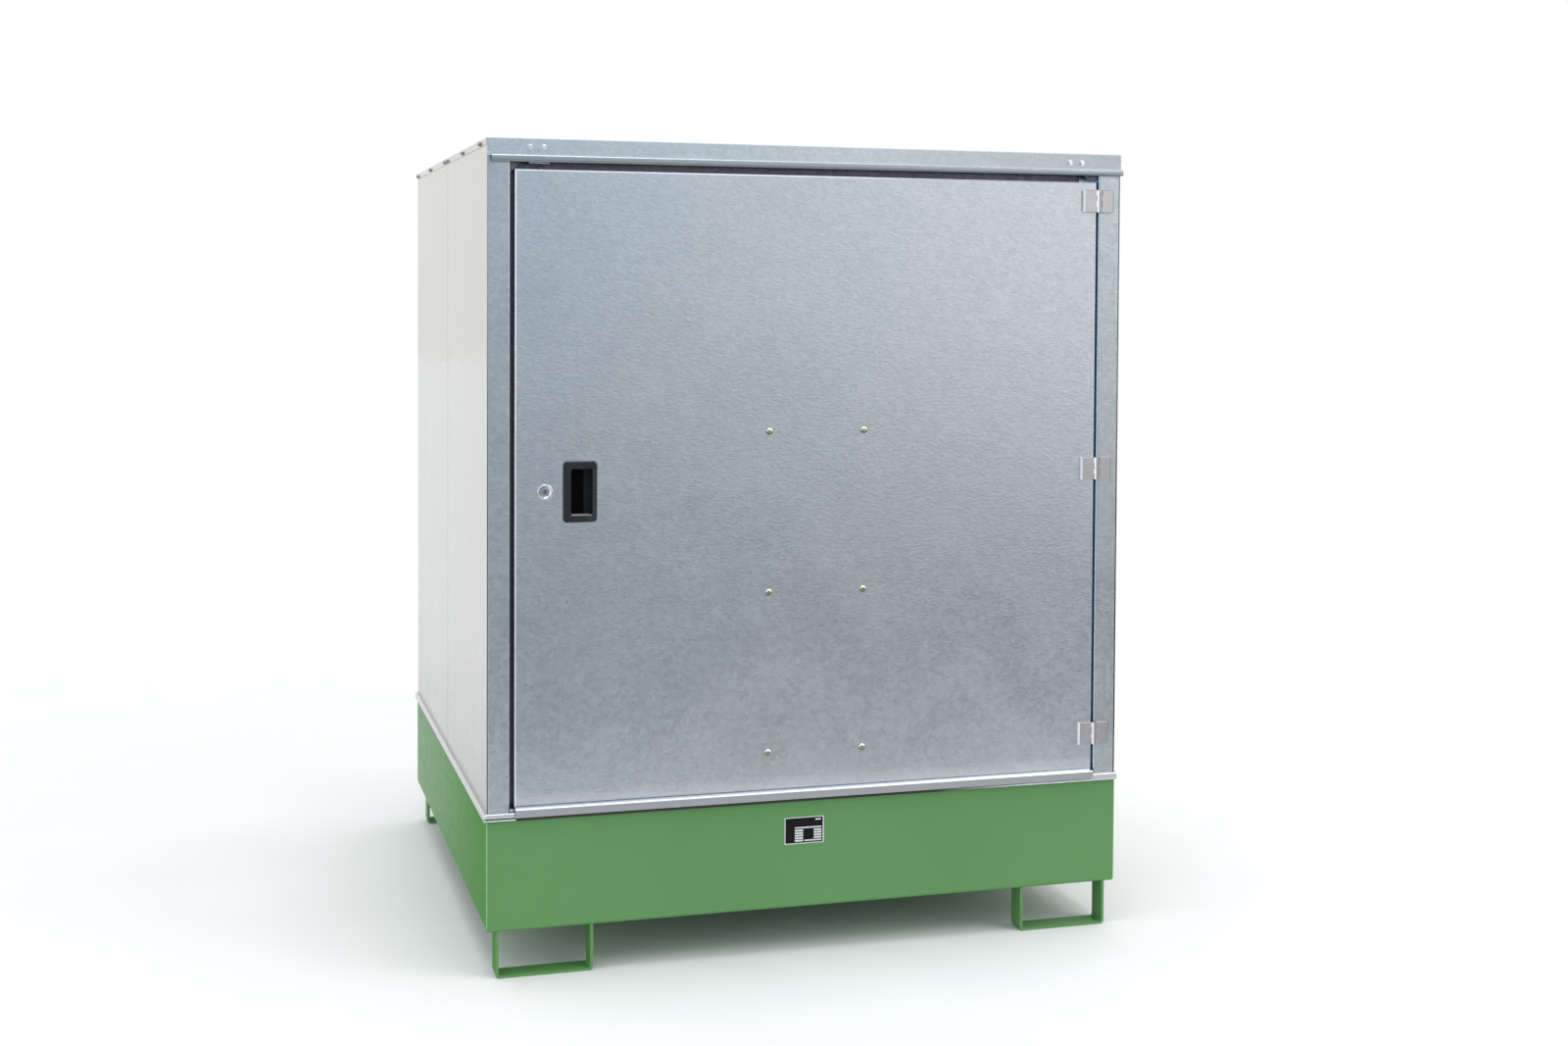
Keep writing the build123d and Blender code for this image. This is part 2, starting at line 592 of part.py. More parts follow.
# ---- door --------------------------------------------------------------------
DB = YF + DOOR_DEPTH          # back plane of the door
SK = YF + T_WALL              # back face of the door sheet
with BuildPart() as door_skin:
    slab(DOOR_L, DOOR_R, YF, DB, DOOR_LOW, DOOR_TOP)
    fillet(door_skin.faces().sort_by(Axis.Y)[0].edges(), 2.0)
    slab(DOOR_L + T_WALL, DOOR_R - T_WALL, SK, DB - T_WALL, DOOR_LOW + T_WALL,
         DOOR_TOP - T_WALL, mode=Mode.SUBTRACT)
    slab(DOOR_L + 20, DOOR_R - 20, DB - T_WALL - 1, DB + 5, DOOR_LOW + 20,
         DOOR_TOP - 20, mode=Mode.SUBTRACT)
    # lock rods leave through the upper and the lower edge
    with Locations((ROD_U_X, ROD_Y, DOOR_TOP), (ROD_L_X, ROD_Y, DOOR_LOW)):
        Cylinder(5.5, 12, mode=Mode.SUBTRACT)
    # holes in the face: lock, cup, stiffener bolts, hinge studs
    with BuildSketch(Plane.XZ.offset(-YF - 4)):
        with Locations((LOCK_X, LOCK_Z)):
            Circle(11.2)
        with Locations(((CUP[0] + CUP[1]) / 2, (CUP[2] + CUP[3]) / 2)):
            Rectangle(CUP[1] - CUP[0] + 6, CUP[3] - CUP[2] + 6)
        with Locations(*[(s * BOLT_X, z) for s in (-1, 1) for z in BOLT_Z]):
            Circle(3.4)
        with Locations(*[(643.0, z + dz) for z in HINGE_Z for dz in (-14, 14)]):
            Circle(3.4)
    extrude(amount=8, mode=Mode.SUBTRACT)
finish(door_skin, "door_skin")

# drip rail under the door: laps over the rounded rim of the tray
with BuildPart() as door_drip_rail:
    with BuildSketch(Plane.YZ.offset(DOOR_L + 1.0)):
        with BuildLine():
            folded([(YF + 22, DOOR_LOW), (YF + 0.5, DOOR_LOW), (YF - 14, DOOR_LOW - 3.2),
                    (YF - 14, DRIP_LOW)], T_WALL, 1.2)
        make_face()
    extrude(amount=DOOR_R - DOOR_L - 1.5)
    with Locations((ROD_L_X, ROD_Y, DOOR_LOW)):
        Cylinder(5.5, 12, mode=Mode.SUBTRACT)
finish(door_drip_rail, "door_drip_rail")

# wide hat section behind the sheet, held by the six dome bolts
with BuildPart() as door_stiffener:
    with BuildSketch(Plane.XY.offset(396)):
        with BuildLine():
            folded([(-130, SK), (-86, SK), (-86, SK + 22), (86, SK + 22), (86, SK),
                    (130, SK)], T_POST)
        make_face()
    extrude(amount=801)
    with BuildSketch(Plane.XZ.offset(-YF - 8)):
        with Locations(*[(s * BOLT_X, z) for s in (-1, 1) for z in BOLT_Z]):
            Circle(3.4)
    extrude(amount=12, mode=Mode.SUBTRACT)
finish(door_stiffener, "door_stiffener")

with BuildPart() as stiffener_bolts:
    with BuildSketch(Plane.XZ.offset(-YF - 12)):
        with Locations(*[(s * BOLT_X, z) for s in (-1, 1) for z in BOLT_Z]):
            Circle(3.0)
    extrude(amount=12)
    with BuildSketch(Plane.XZ.offset(-YF)):
        with Locations(*[(s * BOLT_X, z) for s in (-1, 1) for z in BOLT_Z]):
            Circle(7.5)
    extrude(amount=4.2)
    fillet(stiffener_bolts.faces().filter_by(Axis.Y).group_by(Axis.Y)[0].edges(), 3.9)
finish(stiffener_bolts, "stiffener_bolts")

with BuildPart() as stiffener_nuts:
    with BuildSketch(Plane.XZ.offset(-SK - T_POST - 5)):
        with Locations(*[(s * BOLT_X, z) for s in (-1, 1) for z in BOLT_Z]):
            RegularPolygon(5.6, 6)
            Circle(3.02, mode=Mode.SUBTRACT)
    extrude(amount=5)
finish(stiffener_nuts, "stiffener_nuts")

# ---- cup handle --------------------------------------------------------------
HX, HZ = (HANDLE[0] + HANDLE[1]) / 2, (HANDLE[2] + HANDLE[3]) / 2
CX, CZ = (CUP[0] + CUP[1]) / 2, (CUP[2] + CUP[3]) / 2
with BuildPart() as handle_cup:
    with BuildSketch(Plane.XZ.offset(-YF)):
        with Locations((HX, HZ)):
            RectangleRounded(HANDLE[1] - HANDLE[0], HANDLE[3] - HANDLE[2], 9)
    extrude(amount=5.0)
    fillet(handle_cup.faces().sort_by(Axis.Y)[0].edges(), 3.5)
    with BuildSketch(Plane.XZ.offset(-YF - 25)):
        with Locations((CX, CZ)):
            RectangleRounded(CUP[1] - CUP[0] + 5, CUP[3] - CUP[2] + 5, 5)
    extrude(amount=26)
    with BuildSketch(Plane.XZ.offset(-YF - 22.5)):
        with Locations((CX, CZ)):
            RectangleRounded(CUP[1] - CUP[0], CUP[3] - CUP[2], 3)
    extrude(amount=30, mode=Mode.SUBTRACT)
    fillet(handle_cup.faces().sort_by(Axis.Y)[0].inner_wires()[0].edges(), 2.0)
finish(handle_cup, "handle_cup")

with BuildPart() as handle_retainer:
    with BuildSketch(Plane.XZ.offset(-SK - 3)):
        with Locations((CX, CZ)):
            RectangleRounded(66, 120, 4)
            RectangleRounded(CUP[1] - CUP[0] + 5.4, CUP[3] - CUP[2] + 5.4, 5.2,
                             mode=Mode.SUBTRACT)
    extrude(amount=3)
finish(handle_retainer, "handle_retainer")

# ---- lock: housing, nut, turning plug, cam with two crank pins ----------------
HOUSE_BACK = YF + 8.0
with BuildPart() as lock_housing:
    with BuildSketch(Plane.XZ.offset(-HOUSE_BACK)):
        with Locations((LOCK_X, LOCK_Z)):
            Circle(11.0)
    extrude(amount=8)
    with BuildSketch(Plane.XZ.offset(-YF)):
        with Locations((LOCK_X, LOCK_Z)):
            Circle(16.5)
    extrude(amount=3.2)
    fillet(lock_housing.faces().sort_by(Axis.Y)[0].edges(), 1.6)
    # conical recess around the plug
    with BuildSketch(Plane.XZ.offset(-YF + 3.2)):
        with Locations((LOCK_X, LOCK_Z)):
            Circle(12.5)
    extrude(amount=-3.0, taper=45, mode=Mode.SUBTRACT)
    with BuildSketch(Plane.XZ.offset(-HOUSE_BACK - 1)):
        with Locations((LOCK_X, LOCK_Z)):
            Circle(7.05)
    extrude(amount=20, mode=Mode.SUBTRACT)
finish(lock_housing, "lock_housing")

with BuildPart() as lock_nut:
    with BuildSketch(Plane.XZ.offset(-SK - 4)):
        with Locations((LOCK_X, LOCK_Z)):
            RegularPolygon(16.0, 6)
            Circle(11.02, mode=Mode.SUBTRACT)
    extrude(amount=4)
finish(lock_nut, "lock_nut")

CAM_FRONT = HOUSE_BACK + 0.3
with BuildPart() as lock_plug:
    with BuildSketch(Plane.XZ.offset(-CAM_FRONT)):
        with Locations((LOCK_X, LOCK_Z)):
            Circle(7.0)
    extrude(amount=CAM_FRONT - YF + 1.8)
    fillet(lock_plug.faces().sort_by(Axis.Y)[0].edges(), 0.8)
    with BuildSketch(Plane.XZ.offset(-CAM_FRONT - 3)):
        with Locations((LOCK_X, LOCK_Z)):
            Circle(5.0)
    extrude(amount=3)
    # keyway
    with BuildSketch(Plane.XZ.offset(-YF + 5)):
        with Locations((LOCK_X, LOCK_Z)):
            Rectangle(1.6, 8.0)
        with Locations((LOCK_X, LOCK_Z + 2.2)):
            Circle(1.7)
    extrude(amount=-9, mode=Mode.SUBTRACT)
finish(lock_plug, "lock_plug")

# crank pins 45 degrees from level, so that a quarter turn lifts one and drops
# the other by the same amount
with BuildPart() as lock_cam:
    with BuildSketch(Plane.XZ.offset(-CAM_FRONT - 3)):
        with Locations(Location((LOCK_X, LOCK_Z), 45)):
            SlotCenterToCenter(2 * CRANK_R, 11)
        with Locations((LOCK_X, LOCK_Z)):
            Circle(8.0)
            Circle(5.0, mode=Mode.SUBTRACT)
    extrude(amount=3)
    with BuildSketch(Plane.XZ.offset(-CAM_FRONT - 10)):
        with Locations((LOCK_X - C45, LOCK_Z - C45), (LOCK_X + C45, LOCK_Z + C45)):
            Circle(2.5)
    extrude(amount=7)
finish(lock_cam, "lock_cam")

with BuildPart() as cam_screw:
    with BuildSketch(Plane.XZ.offset(-CAM_FRONT - 6)):
        with Locations((LOCK_X, LOCK_Z)):
            Circle(3.6)
    extrude(amount=3)
    with BuildSketch(Plane.XZ.offset(-CAM_FRONT - 7)):
        with Locations((LOCK_X, LOCK_Z)):
            RegularPolygon(1.9, 6)
    extrude(amount=2.6, mode=Mode.SUBTRACT)
finish(cam_screw, "cam_screw")

# ---- lock rods with forked ends ----------------------------------------------
ROD_U_TIP, ROD_L_TIP = 1709.0, 362.0
PU_Z, PL_Z = LOCK_Z - C45, LOCK_Z + C45    # pins at rest
with BuildPart() as rod_upper:
    with BuildSketch(Plane.XZ.offset(-ROD_Y - 2)):
        with Locations((-609.8, PU_Z)):
            Rectangle(12.8, 14.0)
        with Locations((-607.5, PU_Z)):
            Rectangle(10.4, 6.2, mode=Mode.SUBTRACT)
    extrude(amount=4)
    with BuildSketch(Plane.XY.offset(PU_Z + 5)):
        with Locations((ROD_U_X, ROD_Y)):
            Circle(ROD_R)
    extrude(amount=ROD_U_TIP - PU_Z - 5)
    chamfer(rod_upper.faces().sort_by(Axis.Z)[-1].edges(), 1.5)
finish(rod_upper, "rod_upper")

with BuildPart() as rod_lower:
    with BuildSketch(Plane.XZ.offset(-ROD_Y - 2)):
        with Locations((-586.2, PL_Z)):
            Rectangle(12.8, 14.0)
        with Locations((-588.5, PL_Z)):
            Rectangle(10.4, 6.2, mode=Mode.SUBTRACT)
    extrude(amount=4)
    with BuildSketch(Plane.XY.offset(PL_Z - 5)):
        with Locations((ROD_L_X, ROD_Y)):
            Circle(ROD_R)
    extrude(amount=-(PL_Z - 5 - ROD_L_TIP))
    chamfer(rod_lower.faces().sort_by(Axis.Z)[0].edges(), 1.5)
finish(rod_lower, "rod_lower")

# guide blocks on the door sheet
with BuildPart() as rod_guides:
    for gx, gz in ((ROD_U_X, 1655.0), (ROD_U_X, 1300.0), (ROD_L_X, 760.0), (ROD_L_X, 410.0)):
        slab(gx - 9, gx + 9, SK, ROD_Y + 7, gz - 7, gz + 7)
    with Locations((ROD_U_X, ROD_Y, 1480)):
        Cylinder(ROD_R + 0.06, 500, mode=Mode.SUBTRACT)
    with Locations((ROD_L_X, ROD_Y, 585)):
        Cylinder(ROD_R + 0.06, 500, mode=Mode.SUBTRACT)
finish(rod_guides, "rod_guides")

# ---- hinges ------------------------------------------------------------------
SEG = HINGE_H / 4


def door_leaf(b, zc):
    """Leaf on the door, with the first and the third knuckle and two studs."""
    zt = zc + HINGE_H / 2
    slab(627, 658.6, YF - HINGE_LEAF_T, YF, zc - HINGE_H / 2, zc + HINGE_H / 2)
    chamfer(b.faces().sort_by(Axis.Y)[0].edges(), 1.0)
    for k in (0, 2):
        z1 = zt - k * SEG
        with Locations((HINGE_X, HINGE_Y, z1 - SEG / 2)):
            Cylinder(KNUCKLE_R, SEG - 0.3)
        slab(655, HINGE_X, YF - HINGE_LEAF_T, HINGE_Y + 4, z1 - SEG + 0.15, z1 - 0.15)
    with Locations((HINGE_X, HINGE_Y, zc)):
        Cylinder(PIN_R + 0.05, HINGE_H + 2, mode=Mode.SUBTRACT)
    with Locations((643, YF + 6, zc - 14), (643, YF + 6, zc + 14)):
        Cylinder(3.0, 12, rotation=(90, 0, 0))


def post_leaf(b, zc):
    """Leaf on the post, with the second and the fourth knuckle and two studs."""
    zt = zc + HINGE_H / 2
    slab(672.4, 700, YF - HINGE_LEAF_T, YF, zc - HINGE_H / 2, zc + HINGE_H / 2)
    chamfer(b.faces().sort_by(Axis.Y)[0].edges(), 1.0)
    for k in (1, 3):
        z1 = zt - k * SEG
        with Locations((HINGE_X, HINGE_Y, z1 - SEG / 2)):
            Cylinder(KNUCKLE_R, SEG - 0.3)
        slab(HINGE_X, 675, YF - HINGE_LEAF_T, HINGE_Y + 4, z1 - SEG + 0.15, z1 - 0.15)
    with Locations((HINGE_X, HINGE_Y, zc)):
        Cylinder(PIN_R + 0.02, HINGE_H + 2, mode=Mode.SUBTRACT)
    with Locations((689, YF + 6, zc - 14), (689, YF + 6, zc + 14)):
        Cylinder(3.0, 12, rotation=(90, 0, 0))


with BuildPart() as hinge_top_door_leaf:
    door_leaf(hinge_top_door_leaf, HINGE_Z[0])
finish(hinge_top_door_leaf, "hinge_top_door_leaf")
with BuildPart() as hinge_middle_door_leaf:
    door_leaf(hinge_middle_door_leaf, HINGE_Z[1])
finish(hinge_middle_door_leaf, "hinge_middle_door_leaf")
with BuildPart() as hinge_bottom_door_leaf:
    door_leaf(hinge_bottom_door_leaf, HINGE_Z[2])
finish(hinge_bottom_door_leaf, "hinge_bottom_door_leaf")

with BuildPart() as hinge_top_post_leaf:
    post_leaf(hinge_top_post_leaf, HINGE_Z[0])
finish(hinge_top_post_leaf, "hinge_top_post_leaf")
with BuildPart() as hinge_middle_post_leaf:
    post_leaf(hinge_middle_post_leaf, HINGE_Z[1])
finish(hinge_middle_post_leaf, "hinge_middle_post_leaf")
with BuildPart() as hinge_bottom_post_leaf:
    post_leaf(hinge_bottom_post_leaf, HINGE_Z[2])
finish(hinge_bottom_post_leaf, "hinge_bottom_post_leaf")

with BuildPart() as hinge_pins:
    with Locations(*[(HINGE_X, HINGE_Y, z) for z in HINGE_Z]):
        Cylinder(PIN_R, HINGE_H)
    chamfer(hinge_pins.faces().filter_by(Axis.Z).edges(), 0.4)
finish(hinge_pins, "hinge_pins")

with BuildPart() as hinge_door_nuts:
    with BuildSketch(Plane.XZ.offset(-SK - 5)):
        with Locations(*[(643.0, z + dz) for z in HINGE_Z for dz in (-14, 14)]):
            RegularPolygon(5.6, 6)
            Circle(3.02, mode=Mode.SUBTRACT)
    extrude(amount=5)
finish(hinge_door_nuts, "hinge_door_nuts")

with BuildPart() as hinge_post_nuts:
    with BuildSketch(Plane.XZ.offset(-YF - T_POST - 5)):
        with Locations(*[(689.0, z + dz) for z in HINGE_Z for dz in (-14, 14)]):
            RegularPolygon(5.6, 6)
            Circle(3.02, mode=Mode.SUBTRACT)
    extrude(amount=5)
finish(hinge_post_nuts, "hinge_post_nuts")

print("parts written:", len(os.listdir("parts")))
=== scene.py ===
import bpy, bmesh, math
from math import sin, cos, radians, pi
from mathutils import Matrix, Vector


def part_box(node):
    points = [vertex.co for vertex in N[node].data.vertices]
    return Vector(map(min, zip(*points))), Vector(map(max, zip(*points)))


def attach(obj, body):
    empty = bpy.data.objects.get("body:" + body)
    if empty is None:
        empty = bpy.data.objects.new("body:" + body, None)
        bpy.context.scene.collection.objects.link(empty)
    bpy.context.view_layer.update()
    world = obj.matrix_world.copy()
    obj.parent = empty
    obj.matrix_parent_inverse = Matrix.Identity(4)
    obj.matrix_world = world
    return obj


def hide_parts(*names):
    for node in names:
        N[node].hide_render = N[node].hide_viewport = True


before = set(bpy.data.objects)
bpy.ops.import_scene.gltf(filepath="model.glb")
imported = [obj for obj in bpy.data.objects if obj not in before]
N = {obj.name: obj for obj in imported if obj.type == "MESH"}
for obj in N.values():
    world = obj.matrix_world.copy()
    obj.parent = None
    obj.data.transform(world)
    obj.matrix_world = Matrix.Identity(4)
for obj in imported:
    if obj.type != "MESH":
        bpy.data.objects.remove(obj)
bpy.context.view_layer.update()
MM = 0.001


# ---------------------------------------------------------------- helpers ---
def col4(c):
    return (c[0], c[1], c[2], 1.0)


class Mat:
    """Small wrapper for building one procedural material."""

    def __init__(self, name):
        self.m = bpy.data.materials.new(name)
        self.m.use_nodes = True
        self.t = self.m.node_tree
        self.t.nodes.clear()
        self.out = self.t.nodes.new("ShaderNodeOutputMaterial")
        self.b = self.t.nodes.new("ShaderNodeBsdfPrincipled")
        self.t.links.new(self.b.outputs[0], self.out.inputs[0])
        self.tc = self.t.nodes.new("ShaderNodeTexCoord")

    def n(self, kind, **kw):
        node = self.t.nodes.new(kind)
        for k, v in kw.items():
            setattr(node, k, v)
        return node

    def link(self, a, b):
        self.t.links.new(a, b)

    def set(self, **kw):
        names = {"metallic": "Metallic", "rough": "Roughness", "coat": "Coat Weight",
                 "coat_rough": "Coat Roughness", "spec": "Specular IOR Level",
                 "ior": "IOR", "sheen": "Sheen Weight"}
        for k, v in kw.items():
            self.b.inputs[names[k]].default_value = v

    def mapping(self, scale=(1, 1, 1), rot=(0, 0, 0)):
        mp = self.n("ShaderNodeMapping")
        mp.inputs["Scale"].default_value = scale
        mp.inputs["Rotation"].default_value = rot
        self.link(self.tc.outputs["Object"], mp.inputs[0])
        return mp.outputs[0]

    def noise(self, scale, detail=3.0, rough=0.5, vec=None, distortion=0.0):
        nz = self.n("ShaderNodeTexNoise")
        nz.inputs["Scale"].default_value = scale
        nz.inputs["Detail"].default_value = detail
        nz.inputs["Roughness"].default_value = rough
        nz.inputs["Distortion"].default_value = distortion
        self.link(vec or self.tc.outputs["Object"], nz.inputs["Vector"])
        return nz.outputs["Fac"]

    def voronoi(self, scale, vec=None, feature="F1", out="Color"):
        v = self.n("ShaderNodeTexVoronoi", feature=feature)
        v.inputs["Scale"].default_value = scale
        self.link(vec or self.tc.outputs["Object"], v.inputs["Vector"])
        return v.outputs[out]

    def warp(self, amount, scale):
        """Object coordinates pushed about by noise, for irregular cells."""
        nz = self.n("ShaderNodeTexNoise")
        nz.inputs["Scale"].default_value = scale
        nz.inputs["Detail"].default_value = 2.0
        self.link(self.tc.outputs["Object"], nz.inputs["Vector"])
        sub = self.n("ShaderNodeVectorMath", operation="SUBTRACT")
        self.link(nz.outputs["Color"], sub.inputs[0])
        sub.inputs[1].default_value = (0.5, 0.5, 0.5)
        sc = self.n("ShaderNodeVectorMath", operation="SCALE")
        self.link(sub.outputs[0], sc.inputs[0])
        sc.inputs["Scale"].default_value = amount
        add = self.n("ShaderNodeVectorMath", operation="ADD")
        self.link(self.tc.outputs["Object"], add.inputs[0])
        self.link(sc.outputs[0], add.inputs[1])
        return add.outputs[0]

    def math(self, op, a, b=None, c=None):
        m = self.n("ShaderNodeMath", operation=op)
        for i, v in enumerate((a, b, c)):
            if v is None:
                continue
            if isinstance(v, (int, float)):
                m.inputs[i].default_value = v
            else:
                self.link(v, m.inputs[i])
        return m.outputs[0]

    def rng(self, src, lo, hi, a=0.0, b=1.0):
        r = self.n("ShaderNodeMapRange")
        r.inputs["From Min"].default_value = a
        r.inputs["From Max"].default_value = b
        r.inputs["To Min"].default_value = lo
        r.inputs["To Max"].default_value = hi
        self.link(src, r.inputs["Value"])
        return r.outputs[0]

    def ramp(self, src, stops):
        r = self.n("ShaderNodeValToRGB")
        e = r.color_ramp.elements
        while len(e) > 2:
            e.remove(e[-1])
        e[0].position, e[0].color = stops[0][0], col4(stops[0][1])
        e[1].position, e[1].color = stops[-1][0], col4(stops[-1][1])
        for p, c in stops[1:-1]:
            x = e.new(p)
            x.color = col4(c)
        self.link(src, r.inputs[0])
        return r.outputs[0]

    def mix(self, fac, a, b, blend="MIX"):
        m = self.n("ShaderNodeMix", data_type="RGBA", blend_type=blend)
        for v, i in ((fac, 0), (a, 6), (b, 7)):
            if isinstance(v, (int, float)):
                m.inputs[i].default_value = v
            elif isinstance(v, tuple):
                m.inputs[i].default_value = col4(v)
            else:
                self.link(v, m.inputs[i])
        return m.outputs[2]

    def bump(self, height, strength, distance, prev=None):
        b = self.n("ShaderNodeBump")
        b.inputs["Strength"].default_value = strength
        b.inputs["Distance"].default_value = distance
        self.link(height, b.inputs["Height"])
        if prev is not None:
            self.link(prev, b.inputs["Normal"])
        return b.outputs[0]

    def box_tints(self, color, boxes):
        """Tint color where all the ranges (axis, full, none) of a box hold."""
        xyz = self.n("ShaderNodeSeparateXYZ")
        self.link(self.tc.outputs["Object"], xyz.inputs[0])
        for (tint, ranges) in boxes:
            k = None
            for (c, full, none) in ranges:
                r = self.rng(xyz.outputs["xyz".index(c)], 1.0, 0.0, full, none)
                k = r if k is None else self.math("MULTIPLY", k, r)
            color = self.mix(k, color, tint)
        return color

    def finish(self, color=None, rough=None, normal=None):
        if color is not None:
            self.link(color, self.b.inputs["Base Color"])
        if rough is not None:
            self.link(rough, self.b.inputs["Roughness"])
        if normal is not None:
            self.link(normal, self.b.inputs["Normal"])
        return self.m


# -------------------------------------------------------------- materials ---
def galvanised(name, dark, light, r0, r1, cell=105.0, contrast=1.0, wave=0.25, ripple=0.30,
               edges=(), painted_highlight_color=(0.95, 0.93, 0.95), shade=None, shade_color=(0.1, 0.11, 0.13), boxes=()):
    """Hot-dip galvanised sheet: small soft crystals, faint clouds, fine ripple.

    edges are bands of painted highlight or painted shade, given as (axis, full, none, strength, colour, centre)
    along an object axis, the last three optional;
    shade is a list of such ranges that multiply into one mask where shade_color is laid on, a painted shade on
    the inner faces.
    """
    m = Mat(name)
    m.set(metallic=1.0)
    w = m.warp(0.012, 60.0)
    sep = m.n("ShaderNodeSeparateColor")
    m.link(m.voronoi(cell, w), sep.inputs[0])
    cloud = m.noise(6.0, 4.0, 0.55)
    fine = m.noise(300.0, 4.0, 0.65)
    f = m.math("ADD", m.math("MULTIPLY", m.math("SUBTRACT", sep.outputs[0], 0.5), 0.20 * contrast),
               m.math("ADD", m.math("MULTIPLY", cloud, 0.32), m.math("MULTIPLY", fine, 0.68)))
    color = m.ramp(f, [(0.26, dark), (0.74, light)])
    rough = m.rng(m.math("ADD", m.math("MULTIPLY", sep.outputs[1], 0.5),
                         m.math("MULTIPLY", cloud, 0.5)), r0, r1, 0.2, 0.8)
    n1 = m.bump(m.noise(2.4, 2.0, 0.5), wave, 0.004)
    rip = m.noise(90.0, 3.0, 0.6, m.mapping(scale=(1.0, 1.0, 2.4)))
    n2 = m.bump(rip, ripple, 0.0010, n1)
    if edges or shade:
        xyz = m.n("ShaderNodeSeparateXYZ")
        m.link(m.tc.outputs["Object"], xyz.inputs[0])
        ax = {"x": 0, "y": 1, "z": 2}
    # painted shade on the inner faces
    if shade:
        k = None
        for (c, full, none) in shade:
            r = m.rng(xyz.outputs[ax[c]], 1.0, 0.0, full, none)
            k = r if k is None else m.math("MULTIPLY", k, r)
        color = m.mix(k, color, shade_color)
    # bands of painted highlight or painted shade
    for e in edges:
        src = xyz.outputs[ax[e[0]]]
        if len(e) > 5:
            src = m.math("ABSOLUTE", m.math("SUBTRACT", src, e[5]))
        k = m.rng(src, e[3] if len(e) > 3 else 1.0, 0.0, e[1], e[2])
        color = m.mix(k, color, e[4] if len(e) > 4 else painted_highlight_color)
    if boxes:
        color = m.box_tints(color, boxes)
    return m.finish(color, rough, n2)


def zinc_wall(name, shade_line_z=None):
    """Smooth bright sheet that mirrors its surroundings, with faint rolling lines.

    Below the given height a dark line is painted along the lower edge, a painted shade line; the whole sheet is
    darkened towards the bottom, a painted shade with a little random tone.
    """
    m = Mat(name)
    m.set(metallic=1.0)
    w = m.warp(0.010, 50.0)
    sep = m.n("ShaderNodeSeparateColor")
    m.link(m.voronoi(80.0, w), sep.inputs[0])
    roll = m.noise(1.0, 3.0, 0.5, m.mapping(scale=(60, 60, 1.5)))
    f = m.math("ADD", m.math("MULTIPLY", sep.outputs[0], 0.45), m.math("MULTIPLY", roll, 0.55))
    color = m.ramp(f, [(0.2, (0.490, 0.484, 0.466)), (0.8, (0.548, 0.542, 0.524))])
    xyz = m.n("ShaderNodeSeparateXYZ")
    m.link(m.tc.outputs["Object"], xyz.inputs[0])
    # painted shade: darker towards the bottom, with a little random tone from the noise
    painted_shade_by_height = m.math("ADD", m.rng(xyz.outputs[2], 0.0, 1.0, 0.35, 1.65),
                   m.math("MULTIPLY", m.math("SUBTRACT", m.noise(3.0, 3.0, 0.5), 0.5), 0.06))
    color = m.mix(1.0, color, m.ramp(painted_shade_by_height, [(0.0, (0.56, 0.545, 0.52)), (0.10, (0.67, 0.66, 0.635)),
                                             (0.26, (0.79, 0.78, 0.755)), (0.58, (0.90, 0.89, 0.865)),
                                             (1.0, (1.0, 0.995, 0.985))]), "MULTIPLY")
    # painted shade line below the given height along the lower edge
    if shade_line_z is not None:
        color = m.mix(m.rng(xyz.outputs[2], 1.0, 0.0, shade_line_z, shade_line_z + 0.0008), color, (0.13, 0.14, 0.15))
    rough = m.rng(f, 0.10, 0.20, 0.2, 0.8)
    n1 = m.bump(m.noise(1.8, 1.0, 0.4), 0.30, 0.004)
    return m.finish(color, rough, n1)


def paint(name, base, dark):
    """Powder coat: even colour, faint orange peel, gloss that shows at grazing angles."""
    m = Mat(name)
    m.set(metallic=0.0)
    cloud = m.noise(5.0, 3.0, 0.5)
    speck = m.noise(260.0, 2.0, 0.6)
    f = m.math("ADD", m.math("MULTIPLY", cloud, 0.75), m.math("MULTIPLY", speck, 0.25))
    color = m.ramp(f, [(0.30, dark), (0.72, base)])
    rough = m.rng(m.noise(35.0, 3.0, 0.5), 0.34, 0.44, 0.3, 0.7)
    lw = m.n("ShaderNodeLayerWeight")
    lw.inputs["Blend"].default_value = 0.5
    near = m.rng(lw.outputs["Facing"], 0.30, 0.0, 0.45, 0.75)
    far = m.math("MULTIPLY", m.math("POWER", m.rng(lw.outputs["Facing"], 0.0, 1.0, 0.866, 0.905), 3.0), 0.38)
    m.link(m.math("ADD", near, far), m.b.inputs["Specular IOR Level"])
    n1 = m.bump(m.noise(520.0, 2.0, 0.5), 0.05, 0.0004)
    n2 = m.bump(m.noise(3.0, 1.0, 0.4), 0.06, 0.003, n1)
    return m.finish(color, rough, n2)


